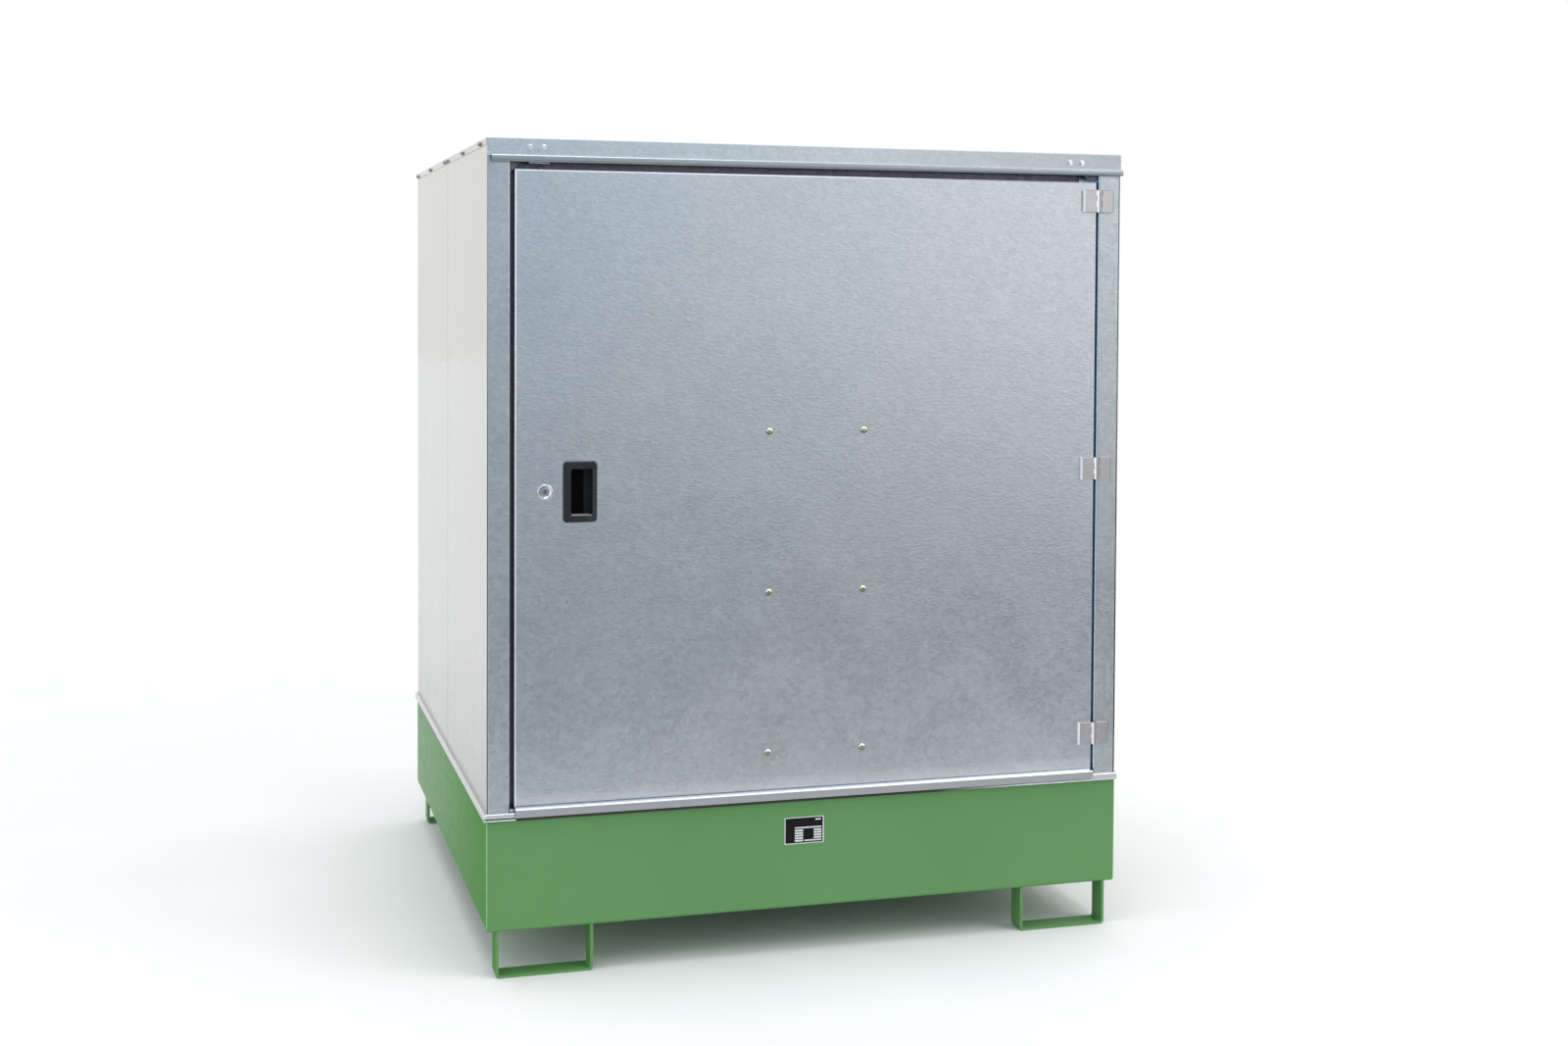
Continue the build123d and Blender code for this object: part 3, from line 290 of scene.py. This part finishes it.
def metal(name, a, b, r0, r1, grain=(1, 1, 1), scale=300.0, bump=0.05, metallic=1.0, edges=(),
          painted_highlight_color=(0.97, 0.95, 0.95), white=None, boxes=()):
    """Machined or plated metal with grain along one direction and painted highlights on the edges.

    edges are (axis, full, none, centre, colour), the last two optional, bands of painted highlight or painted
    shade; white is one edge band painted as a matt white highlight; boxes are (colour, ranges), tinted where all
    ranges hold.
    """
    m = Mat(name)
    m.set(metallic=metallic)
    g = m.noise(scale, 3.0, 0.6, m.mapping(scale=grain))
    c = m.noise(45.0, 2.0, 0.5)
    f = m.math("ADD", m.math("MULTIPLY", g, 0.6), m.math("MULTIPLY", c, 0.4))
    color = m.ramp(f, [(0.3, a), (0.7, b)])
    rough = m.rng(f, r0, r1, 0.3, 0.7)
    ax = {"x": 0, "y": 1, "z": 2}
    if edges or white or boxes:
        xyz = m.n("ShaderNodeSeparateXYZ")
        m.link(m.tc.outputs["Object"], xyz.inputs[0])
    for e in edges:
        src = xyz.outputs[ax[e[0]]]
        if len(e) > 3 and e[3] is not None:
            src = m.math("ABSOLUTE", m.math("SUBTRACT", src, e[3]))
        color = m.mix(m.rng(src, 1.0, 0.0, e[1], e[2]), color, e[4] if len(e) > 4 else painted_highlight_color)
    if boxes:
        color = m.box_tints(color, boxes)
    # white: a matt white band, a painted highlight
    if white:
        k = m.rng(xyz.outputs[ax[white[0]]], 1.0, 0.0, white[1], white[2])
        color = m.mix(k, color, (0.90, 0.90, 0.93))
        m.link(m.math("SUBTRACT", metallic, m.math("MULTIPLY", k, 0.9 * metallic)), m.b.inputs["Metallic"])
    return m.finish(color, rough, m.bump(g, bump, 0.0002))


def plastic(name, a, b, r0, r1, grain=900.0, bump=0.12, deep=None, spec=0.5, boxes=()):
    """Moulded plastic with a fine eroded grain; behind deep (object y) it is matt and darker, a painted shade in
    the recess.
    """
    m = Mat(name)
    m.set(metallic=0.0, spec=spec)
    g = m.noise(grain, 3.0, 0.65)
    c = m.noise(30.0, 2.0, 0.5)
    color = m.ramp(m.math("ADD", m.math("MULTIPLY", g, 0.5), m.math("MULTIPLY", c, 0.5)),
                   [(0.3, a), (0.7, b)])
    rough = m.rng(g, r0, r1, 0.3, 0.7)
    if deep is not None:
        xyz = m.n("ShaderNodeSeparateXYZ")
        m.link(m.tc.outputs["Object"], xyz.inputs[0])
        k = m.rng(xyz.outputs[1], 0.0, 1.0, deep - 0.001, deep + 0.002)
        color = m.mix(k, color, (0.0012, 0.0012, 0.0014))
        rough = m.math("ADD", rough, m.math("MULTIPLY", k, 0.35))
        m.link(m.rng(k, 0.5, 0.06), m.b.inputs["Specular IOR Level"])
    if boxes:
        color = m.box_tints(color, boxes)
    return m.finish(color, rough, m.bump(g, bump, 0.0002))


M = {}
M["green"] = paint("green_powder_coat", (0.110, 0.268, 0.088), (0.100, 0.251, 0.080))
# weld bead painted a lighter green than the tray, a painted highlight along the corner seams
M["weld"] = paint("green_weld_bead", (0.300, 0.520, 0.270), (0.170, 0.370, 0.140))
# door: painted highlight along the left fold and the top fold, the top one fading out to the right; a painted
# reflection lightens the band just above the bottom; a thin painted shade line runs along the top right edge
M["door"] = galvanised("galvanised_door", (0.444, 0.479, 0.505), (0.560, 0.593, 0.615), 0.27, 0.36,
                       ripple=0.36, edges=[("x", -0.6592, -0.6580), ("z", 0.3660, 0.3950, 0.35)],
                       boxes=[((0.95, 0.93, 0.95), [("z", 1.6988, 1.6975), ("x", -0.10, 0.50)]),
                              ((0.30, 0.31, 0.33), [("z", 1.6990, 1.6984), ("x", 0.50, 0.10)])])
# fascia: painted shade growing towards the right end and over the rolled lip; a painted highlight line along the
# lip's top and a bluish painted highlight along the top edge
M["frame"] = galvanised("galvanised_fascia", (0.44, 0.48, 0.505), (0.58, 0.62, 0.64), 0.28, 0.40,
                        wave=0.12, edges=[("x", 0.75, 0.05, 1.0, (0.385, 0.415, 0.435)),
                                          ("z", 1.7284, 1.7296, 1.0, (0.320, 0.362, 0.370)),
                                          ("z", 0.0006, 0.0010, 0.6, (0.80, 0.82, 0.83), 1.7306),
                                          ("z", 1.7640, 1.7630, 0.8, (0.62, 0.74, 0.86))])
# left post: painted highlight along the outer fold edge, painted shade on the inner faces behind the front
M["post_l"] = galvanised("galvanised_left_post", (0.39, 0.43, 0.46), (0.51, 0.55, 0.575), 0.30, 0.42,
                         wave=0.12, contrast=1.3, edges=[("x", -0.7170, -0.7155, 0.8)],
                         painted_highlight_color=(0.72, 0.76, 0.79),
                         shade=[("x", -0.7150, -0.7165), ("y", -0.6670, -0.6690)])
# right post: bluish painted highlight along the edge by the door, painted shade on the inner faces behind the
# front
M["post_r"] = galvanised("galvanised_right_post", (0.39, 0.43, 0.46), (0.51, 0.55, 0.575), 0.30, 0.42,
                         wave=0.12, contrast=1.3, edges=[("x", 0.6682, 0.6696)],
                         painted_highlight_color=(0.62, 0.80, 0.93),
                         shade=[("x", 0.7150, 0.7165), ("y", -0.6670, -0.6690)])
# rim: painted shade line along the lower edge, painted shadow under the overhanging drip rail along the front
# with a thin painted shadow line across the rest, and painted shade on the left end face
M["rim"] = metal("galvanised_rim", (0.64, 0.66, 0.68), (0.72, 0.735, 0.75), 0.20, 0.28, scale=400.0, bump=0.0,
                 edges=[("z", 0.3356, 0.3366, None, (0.22, 0.20, 0.19))],
                 boxes=[((0.060, 0.052, 0.045), [("z", 0.3432, 0.3440), ("y", -0.6702, -0.6690),
                                                 ("x", -0.6590, -0.6600), ("x", 0.28, 0.50)]),
                        ((0.052, 0.055, 0.062), [("z", 0.3424, 0.3428), ("z", 0.3402, 0.3396),
                                                 ("y", -0.6702, -0.6690), ("x", 0.655, 0.659)]),
                        ((0.52, 0.52, 0.53), [("x", -0.7268, -0.7262)])])
# drip rail: painted highlight along the top edge and a bluish painted sky reflection on the part of the top next
# to the door
M["rail"] = metal("galvanised_drip_rail", (0.435, 0.455, 0.470), (0.475, 0.495, 0.510), 0.26, 0.32,
                  scale=500.0, bump=0.0, edges=[("z", 0.3588, 0.3577)],
                  boxes=[((0.50, 0.58, 0.66), [("y", -0.6740, -0.6775)])])
M["wall"] = zinc_wall("bright_zinc_wall")
# roof: painted shade line along the lower edge of the side flange
M["roof"] = zinc_wall("bright_zinc_roof", 1.7506)
M["zinc_dull"] = metal("dull_zinc_screws", (0.22, 0.23, 0.235), (0.44, 0.45, 0.455), 0.22, 0.34)
M["inner"] = galvanised("galvanised_inner", (0.42, 0.44, 0.45), (0.56, 0.58, 0.59), 0.38, 0.50)
# head rail and corner gussets: a much darker copy of the galvanised finish, a painted shade for the gap above the
# door
M["head"] = galvanised("galvanised_head_painted_shade", (0.115, 0.11, 0.13), (0.20, 0.19, 0.215), 0.40, 0.50)
M["grate"] = galvanised("galvanised_grating", (0.44, 0.46, 0.47), (0.62, 0.64, 0.65), 0.40, 0.55, cell=60.0, contrast=1.4)
M["zinc"] = metal("bright_zinc_plate", (0.60, 0.62, 0.64), (0.80, 0.81, 0.82), 0.18, 0.30)
# rods: painted shade above z 1.686 where they run up behind the head rail
M["rod"] = metal("zinc_rod", (0.42, 0.43, 0.43), (0.58, 0.59, 0.59), 0.25, 0.38, grain=(6, 6, 0.3),
                 edges=[("z", 1.690, 1.686, None, (0.12, 0.12, 0.13))])
# hinges: a matt white painted highlight on the door leaf's left edge and a painted highlight on the knuckle;
# painted shade lines right of the knuckle and along the post leaf's right edge
M["hinge"] = metal("satin_hinge", (0.42, 0.405, 0.415), (0.52, 0.505, 0.515), 0.30, 0.40, scale=420.0, bump=0.10,
                   white=("x", 0.6291, 0.6297),
                   edges=[("x", 0.0020, 0.0032, 0.6602), ("x", 0.0005, 0.0011, 0.6672, (0.20, 0.19, 0.23)),
                          ("x", 0.6991, 0.6980, None, (0.10, 0.10, 0.13))])
M["chrome"] = metal("polished_chrome", (0.84, 0.84, 0.85), (0.94, 0.94, 0.95), 0.08, 0.16, scale=120.0, bump=0.02)
# lock plug: a darker copy of the chrome, a painted shade for the plug sunk in the housing
M["chrome_dark"] = metal("lock_plug_chrome", (0.26, 0.265, 0.275), (0.38, 0.385, 0.395), 0.25, 0.34, scale=120.0, bump=0.02)
# handle: painted shade deep in the recess; a lighter tint, painted light, on the recess's right side and a
# painted highlight line along its lower inner edge
M["black"] = plastic("black_nylon", (0.0030, 0.0040, 0.0070), (0.0060, 0.0075, 0.0115), 0.28, 0.38,
                     deep=-0.6700,
                     boxes=[((0.026, 0.026, 0.028), [("x", -0.5100, -0.5140), ("y", -0.6740, -0.6770),
                                                     ("z", 1.0700, 1.0740)]),
                            ((0.36, 0.36, 0.38), [("z", 0.9757, 0.9760), ("z", 0.9751, 0.9747),
                                                  ("x", -0.5000, -0.4985), ("x", -0.5425, -0.5440),
                                                  ("y", -0.6840, -0.6850)])])
M["guide"] = plastic("grey_nylon", (0.05, 0.05, 0.05), (0.08, 0.08, 0.08), 0.45, 0.6)
M["rubber"] = plastic("seal_rubber", (0.010, 0.010, 0.011), (0.022, 0.022, 0.023), 0.65, 0.8, grain=500.0)
M["plate_dark"] = plastic("plate_dark", (0.0065, 0.0058, 0.0062), (0.0115, 0.0105, 0.0110), 0.55, 0.7, bump=0.02, spec=0.10)
M["plate_light"] = metal("plate_light", (0.60, 0.64, 0.65), (0.72, 0.76, 0.77), 0.30, 0.42, metallic=0.3)


def dome_metal(name):
    """Yellow-passivated domed head: crown painted bright and underside painted dark olive by the facing of the
    normal, a painted highlight and painted shade.
    """
    m = Mat(name)
    m.set(metallic=1.0)
    g = m.n("ShaderNodeNewGeometry")
    sx = m.n("ShaderNodeSeparateXYZ")
    m.link(g.outputs["Normal"], sx.inputs[0])
    # painted highlight on the crown and painted shade on the underside, set by the normal's z
    k = m.math("ADD", sx.outputs[2], m.math("MULTIPLY", m.noise(900.0, 2.0), 0.2))
    color = m.ramp(m.rng(k, 0.0, 1.0, -0.55, 0.75),
                   [(0.0, (0.10, 0.095, 0.045)), (0.45, (0.36, 0.34, 0.20)), (0.75, (0.93, 0.90, 0.70))])
    return m.finish(color, m.rng(m.noise(600.0), 0.16, 0.26), None)


M["dome"] = dome_metal("yellow_zinc_dome")

ASSIGN = {
    "green": ["sump_tray", "foot_front_left", "foot_front_right", "foot_rear_left",
              "foot_rear_right", "grating_ledge_left", "grating_ledge_right", "centre_bearer"],
    "door": ["door_skin"],
    "frame": ["roof_fascia"],
    "post_l": ["post_left"],
    "post_r": ["post_right"],
    "head": ["head_rail", "corner_gussets"],
    "rim": ["base_frame"],
    "rail": ["door_drip_rail"],
    "wall": ["wall_left_front", "wall_left_rear", "wall_right_front", "wall_right_rear",
             "rear_wall_left", "rear_wall_right"],
    "roof": ["roof_panel"],
    "zinc_dull": ["roof_screws"],
    "inner": ["door_sill", "door_stiffener", "roof_beam",
              "sill_spacers", "strike_lower", "strike_upper"],
    "grate": ["grating_left", "grating_right"],
    "zinc": ["fascia_screws", "seam_bolts", "seam_nuts", "stiffener_nuts",
             "hinge_door_nuts", "hinge_post_nuts", "lock_nut", "lock_cam", "cam_screw"],
    "rod": ["rod_upper", "rod_lower"],
    "dome": ["stiffener_bolts"],
    "hinge": ["hinge_top_door_leaf", "hinge_middle_door_leaf", "hinge_bottom_door_leaf",
              "hinge_top_post_leaf", "hinge_middle_post_leaf", "hinge_bottom_post_leaf",
              "hinge_pins"],
    "chrome": ["lock_housing"],
    "chrome_dark": ["lock_plug"],
    "black": ["handle_cup", "handle_retainer"],
    "guide": ["rod_guides"],
    "rubber": ["door_seal"],
    "plate_light": ["type_plate"],
}
for key, names in ASSIGN.items():
    for nm in names:
        if nm in N:
            o = N[nm]
            o.data.materials.clear()
            o.data.materials.append(M[key])

# small worn edges on the folded and moulded parts
BEVEL = {"handle_cup": 0.4, "base_frame": 0.4, "roof_panel": 0.4,
         "post_left": 0.3, "post_right": 0.3, "roof_fascia": 0.3, "door_skin": 0.3,
         "foot_front_left": 1.0, "foot_front_right": 1.0, "foot_rear_left": 1.0,
         "foot_rear_right": 1.0, "lock_housing": 0.3, "lock_plug": 0.25}
for nm, w in BEVEL.items():
    if nm in N:
        bv = N[nm].modifiers.new("edge", "BEVEL")
        bv.width = w * MM
        bv.segments = 2
        bv.limit_method = "ANGLE"
        bv.angle_limit = radians(40)
        bv.harden_normals = False


# ----------------------------------------------------------- extra pieces ---
def new_obj(name, bm, mats, body, smooth=None):
    me = bpy.data.meshes.new(name)
    bm.normal_update()
    bm.to_mesh(me)
    bm.free()
    ob = bpy.data.objects.new(name, me)
    bpy.context.scene.collection.objects.link(ob)
    for mt in mats:
        me.materials.append(mt)
    if smooth is not None:
        for p in me.polygons:
            p.use_smooth = True
        me.set_sharp_from_angle(angle=radians(smooth))
    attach(ob, body)
    return ob


def bm_box(bm, x0, x1, y0, y1, z0, z1, mat=0, bevel=0.0, seg=2):
    """A bevelled block added to bm; coordinates in millimetres."""
    c = Vector(((x0 + x1) / 2, (y0 + y1) / 2, (z0 + z1) / 2)) * MM
    s = Vector((x1 - x0, y1 - y0, z1 - z0)) * MM
    tmp = bmesh.new()
    bmesh.ops.create_cube(tmp, size=1.0, matrix=Matrix.Translation(c) @ Matrix.Diagonal((*s, 1)))
    if bevel:
        bmesh.ops.bevel(tmp, geom=list(tmp.edges), offset=bevel * MM, segments=seg,
                        profile=0.5, affect="EDGES")
    for f in tmp.faces:
        f.material_index = mat
    me = bpy.data.meshes.new("tmp")
    tmp.to_mesh(me)
    tmp.free()
    bm.from_mesh(me)
    bpy.data.meshes.remove(me)


# type plate: light rim, dark panel and blank fields, no lettering
(lo, hi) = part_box("type_plate")
px0, px1, pz0, pz1, py = lo.x / MM, hi.x / MM, lo.z / MM, hi.z / MM, lo.y / MM
bm = bmesh.new()
bm_box(bm, px0, px1, py + 0.3, py + 1.0, pz0, pz1, 0, 0.25)
bm_box(bm, px0 + 2, px1 - 2.6, py + 0.12, py + 0.5, pz0 + 2, pz1 - 1.8, 1, 0.1)
W_, H_ = px1 - px0, pz1 - pz0


def field(u0, u1, v0, v1):
    bm_box(bm, px0 + u0 * W_, px0 + u1 * W_, py + 0.04, py + 0.3,
           pz0 + v0 * H_, pz0 + v1 * H_, 0, 0.06, 1)


field(0.26, 0.94, 0.575, 0.625)
for i in range(5):
    field(0.26, 0.47, 0.465 - i * 0.095, 0.53 - i * 0.095)
for i in range(4):
    field(0.74, 0.94, 0.465 - i * 0.095, 0.53 - i * 0.095)
field(0.50, 0.94, 0.09, 0.14)
field(0.78, 0.92, 0.86, 0.91)
plate = new_obj("type_plate_face", bm, [M["plate_light"], M["plate_dark"]], "housing")
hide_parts("type_plate")


def tube(bm, pts, radii, seg=8):
    """A bumpy bead that follows pts; radii change along it."""
    rings = []
    for i, p in enumerate(pts):
        a = pts[max(i - 1, 0)]
        b = pts[min(i + 1, len(pts) - 1)]
        t = (b - a).normalized()
        ref = Vector((0, 0, 1)) if abs(t.z) < 0.9 else Vector((1, 0, 0))
        u = t.cross(ref).normalized()
        v = t.cross(u)
        rings.append([bm.verts.new(p + (u * cos(2 * pi * k / seg) + v * sin(2 * pi * k / seg))
                                   * radii[i]) for k in range(seg)])
    for r0, r1 in zip(rings, rings[1:]):
        for k in range(seg):
            bm.faces.new((r0[k], r0[(k + 1) % seg], r1[(k + 1) % seg], r1[k]))
    bm.faces.new(rings[0][::-1])
    bm.faces.new(rings[-1])


def bead(bm, a, b, r, pitch=2.2, seed=1.0):
    """Weld bead between two points in millimetres, with overlapping ripples."""
    a, b = Vector(a) * MM, Vector(b) * MM
    L = (b - a).length
    n = max(8, int(L / (pitch * MM) * 3))
    pts, rad = [], []
    for i in range(n + 1):
        s = i / n
        ph = s * L / (pitch * MM)
        rr = r * (0.86 + 0.12 * abs(sin(pi * ph)) + 0.05 * sin(ph * 0.37 + seed)
                  + 0.04 * sin(ph * 1.93 + 2 * seed))
        if i in (0, n):
            rr *= 0.5
        pts.append(a.lerp(b, s))
        rad.append(rr * MM)
    tube(bm, pts, rad)


tlo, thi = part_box("sump_tray")
tx, ty = thi.x / MM, thi.y / MM
bm = bmesh.new()
for sx in (-1, 1):
    for sy in (-1, 1):
        bead(bm, (sx * (tx - 0.4), sy * (ty - 0.4), 110), (sx * (tx - 0.4), sy * (ty - 0.4), 333),
             1.5, seed=2 + sx + 0.5 * sy)
new_obj("tray_corner_welds", bm, [M["weld"]], "housing", 60)

bm = bmesh.new()
for nm in ("foot_front_left", "foot_front_right", "foot_rear_left", "foot_rear_right"):
    flo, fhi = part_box(nm)
    x0, x1, y0, y1 = flo.x / MM, fhi.x / MM, flo.y / MM, fhi.y / MM
    for xx in (x0, x0 + 6, x1 - 6, x1):
        bead(bm, (xx, y0 + 1, 99.6), (xx, y1 - 1, 99.6), 2.0, 2.6, seed=xx * 0.01)
    for yy in (y0, y1):
        for (xa, xb) in ((x0, x0 + 6), (x1 - 6, x1)):
            bead(bm, (xa, yy, 99.6), (xb, yy, 99.6), 1.8, 2.6, seed=yy * 0.01)
new_obj("foot_welds", bm, [M["green"]], "housing", 60)

# --------------------------------------------------------------- the stage ---
bm = bmesh.new()
R = 40.0
prof = [(-R, 0.0), (R, 0.0)]
bmesh.ops.create_grid(bm, x_segments=8, y_segments=8, size=R)
me = bpy.data.meshes.new("floor")
bm.to_mesh(me)
bm.free()
floor = bpy.data.objects.new("floor", me)
bpy.context.scene.collection.objects.link(floor)
fm = Mat("pale_floor")
fm.set(metallic=0.0, spec=0.2)
fsep = fm.n("ShaderNodeSeparateXYZ")
fm.link(fm.tc.outputs["Object"], fsep.inputs[0])
fade = fm.rng(fsep.outputs[1], 0.0, 1.0, -2.25, -1.60)
pale = fm.ramp(fm.noise(2.0, 4.0, 0.5), [(0.3, (0.76, 0.76, 0.76)), (0.7, (0.79, 0.79, 0.79))])
flp = fm.n("ShaderNodeLightPath")
fade = fm.math("MAXIMUM", fade, flp.outputs["Is Camera Ray"])
near_c = fm.mix(fm.rng(fsep.outputs[0], 0.0, 1.0, 0.6, 2.2), (0.25, 0.255, 0.265), (0.110, 0.115, 0.122))
far_k = fm.math("MULTIPLY", fm.rng(fsep.outputs[1], 1.0, 0.0, -8.0, -4.5),
                fm.rng(fsep.outputs[0], 0.0, 1.0, 2.0, 5.0))
fc = fm.mix(fade, fm.mix(far_k, near_c, (0.72, 0.72, 0.72)), pale)
me.materials.append(fm.finish(fc, fm.rng(fm.noise(8.0), 0.6, 0.75)))

# ------------------------------------------------------------ world, lights ---
world = bpy.data.worlds.new("studio")
bpy.context.scene.world = world
world.use_nodes = True
wt = world.node_tree
wt.nodes.clear()
wo = wt.nodes.new("ShaderNodeOutputWorld")
tc = wt.nodes.new("ShaderNodeTexCoord")
sp = wt.nodes.new("ShaderNodeSeparateXYZ")
wt.links.new(tc.outputs["Generated"], sp.inputs[0])


def wrange(src, a, b, lo, hi):
    r = wt.nodes.new("ShaderNodeMapRange")
    r.interpolation_type = "SMOOTHSTEP"
    for i, v in zip(("From Min", "From Max", "To Min", "To Max"), (a, b, lo, hi)):
        r.inputs[i].default_value = v
    wt.links.new(src, r.inputs["Value"])
    return r.outputs[0]


def wmix(fac, a, b):
    m = wt.nodes.new("ShaderNodeMix")
    m.data_type = "RGBA"
    for v, i in ((fac, 0), (a, 6), (b, 7)):
        if isinstance(v, tuple):
            m.inputs[i].default_value = col4(v)
        else:
            wt.links.new(v, m.inputs[i])
    return m.outputs[2]


# bluish and darker in front, warmer to the front right, bright behind and above
back = wrange(sp.outputs[1], -0.75, 0.25, 0.0, 1.0)
side = wrange(sp.outputs[0], 0.08, 0.50, 0.0, 1.0)
high = wrange(sp.outputs[2], -0.30, 0.03, 0.0, 1.0)
mul = wt.nodes.new("ShaderNodeMath")
mul.operation = "MULTIPLY"
wt.links.new(side, mul.inputs[0])
wt.links.new(high, mul.inputs[1])
rise = wrange(sp.outputs[2], -0.1, 0.55, 0.0, 1.0)
left_c = wmix(rise, (0.58, 0.735, 0.91), (0.80, 0.97, 1.15))
front_c = wmix(mul.outputs[0], left_c, (1.56, 1.51, 1.44))
sky = wmix(back, front_c, (0.96, 0.96, 0.95))
upz = wrange(sp.outputs[2], 0.25, 0.9, 0.0, 1.0)
sky2 = wmix(upz, sky, (0.92, 0.94, 0.97))
bg = wt.nodes.new("ShaderNodeBackground")
bg.inputs[1].default_value = 1.0
wt.links.new(sky2, bg.inputs[0])
white = wt.nodes.new("ShaderNodeBackground")
white.inputs[0].default_value = (1, 1, 1, 1)
white.inputs[1].default_value = 1.0
lp = wt.nodes.new("ShaderNodeLightPath")
ms = wt.nodes.new("ShaderNodeMixShader")
wt.links.new(lp.outputs["Is Camera Ray"], ms.inputs[0])
wt.links.new(bg.outputs[0], ms.inputs[1])
wt.links.new(white.outputs[0], ms.inputs[2])
wt.links.new(ms.outputs[0], wo.inputs[0])


def area(name, loc, target, size, power, color=(1, 1, 1)):
    L = bpy.data.lights.new(name, "AREA")
    L.shape = "RECTANGLE"
    L.size, L.size_y = size
    L.energy = power
    L.color = color
    ob = bpy.data.objects.new(name, L)
    ob.location = loc
    d = Vector(target) - Vector(loc)
    ob.rotation_euler = d.to_track_quat("-Z", "Y").to_euler()
    bpy.context.scene.collection.objects.link(ob)
    return ob


area("key_softbox", (3.4, -3.6, 4.4), (0.2, 0, 1.0), (2.0, 1.6), 52, (1.0, 0.985, 0.97))


def sun(name, direction, strength, angle, color=(1, 1, 1)):
    L = bpy.data.lights.new(name, "SUN")
    L.energy = strength
    L.angle = radians(angle)
    L.color = color
    ob = bpy.data.objects.new(name, L)
    ob.rotation_euler = Vector(direction).to_track_quat("-Z", "Y").to_euler()
    bpy.context.scene.collection.objects.link(ob)
    return ob


sun("overhead", (0.02, 0.06, -1.0), 1.15, 35)
area("left_strip", (-4.6, -1.9, 1.3), (-0.7, -0.6, 1.0), (0.7, 3.2), 26, (1.0, 0.96, 0.97))

# ------------------------------------------------------------------ camera ---
YAW, PITCH, ROLL = radians(16.462), radians(-1.861), radians(0.316)
fwd = Vector((sin(YAW) * cos(PITCH), cos(YAW) * cos(PITCH), sin(PITCH)))
right_v = Vector((cos(YAW), -sin(YAW), 0))
up_v = right_v.cross(fwd)
r2 = cos(ROLL) * right_v + sin(ROLL) * up_v
u2 = -sin(ROLL) * right_v + cos(ROLL) * up_v
cam = bpy.data.cameras.new("camera")
cam.sensor_fit = "HORIZONTAL"
cam.sensor_width = 36.0
cam.lens = 2034.3 / 1600 * 36.0
cam.shift_x = 0.0
cam.shift_y = -(533.5 - 368.2) / 1600
cam.clip_end = 200
co = bpy.data.objects.new("camera", cam)
co.matrix_world = Matrix(((r2.x, u2.x, -fwd.x, -1.3014), (r2.y, u2.y, -fwd.y, -4.8166),
                          (r2.z, u2.z, -fwd.z, 1.4397), (0, 0, 0, 1)))
bpy.context.scene.collection.objects.link(co)
bpy.context.scene.camera = co
bpy.context.scene.view_settings.view_transform = "Standard"

bpy.context.view_layer.update()
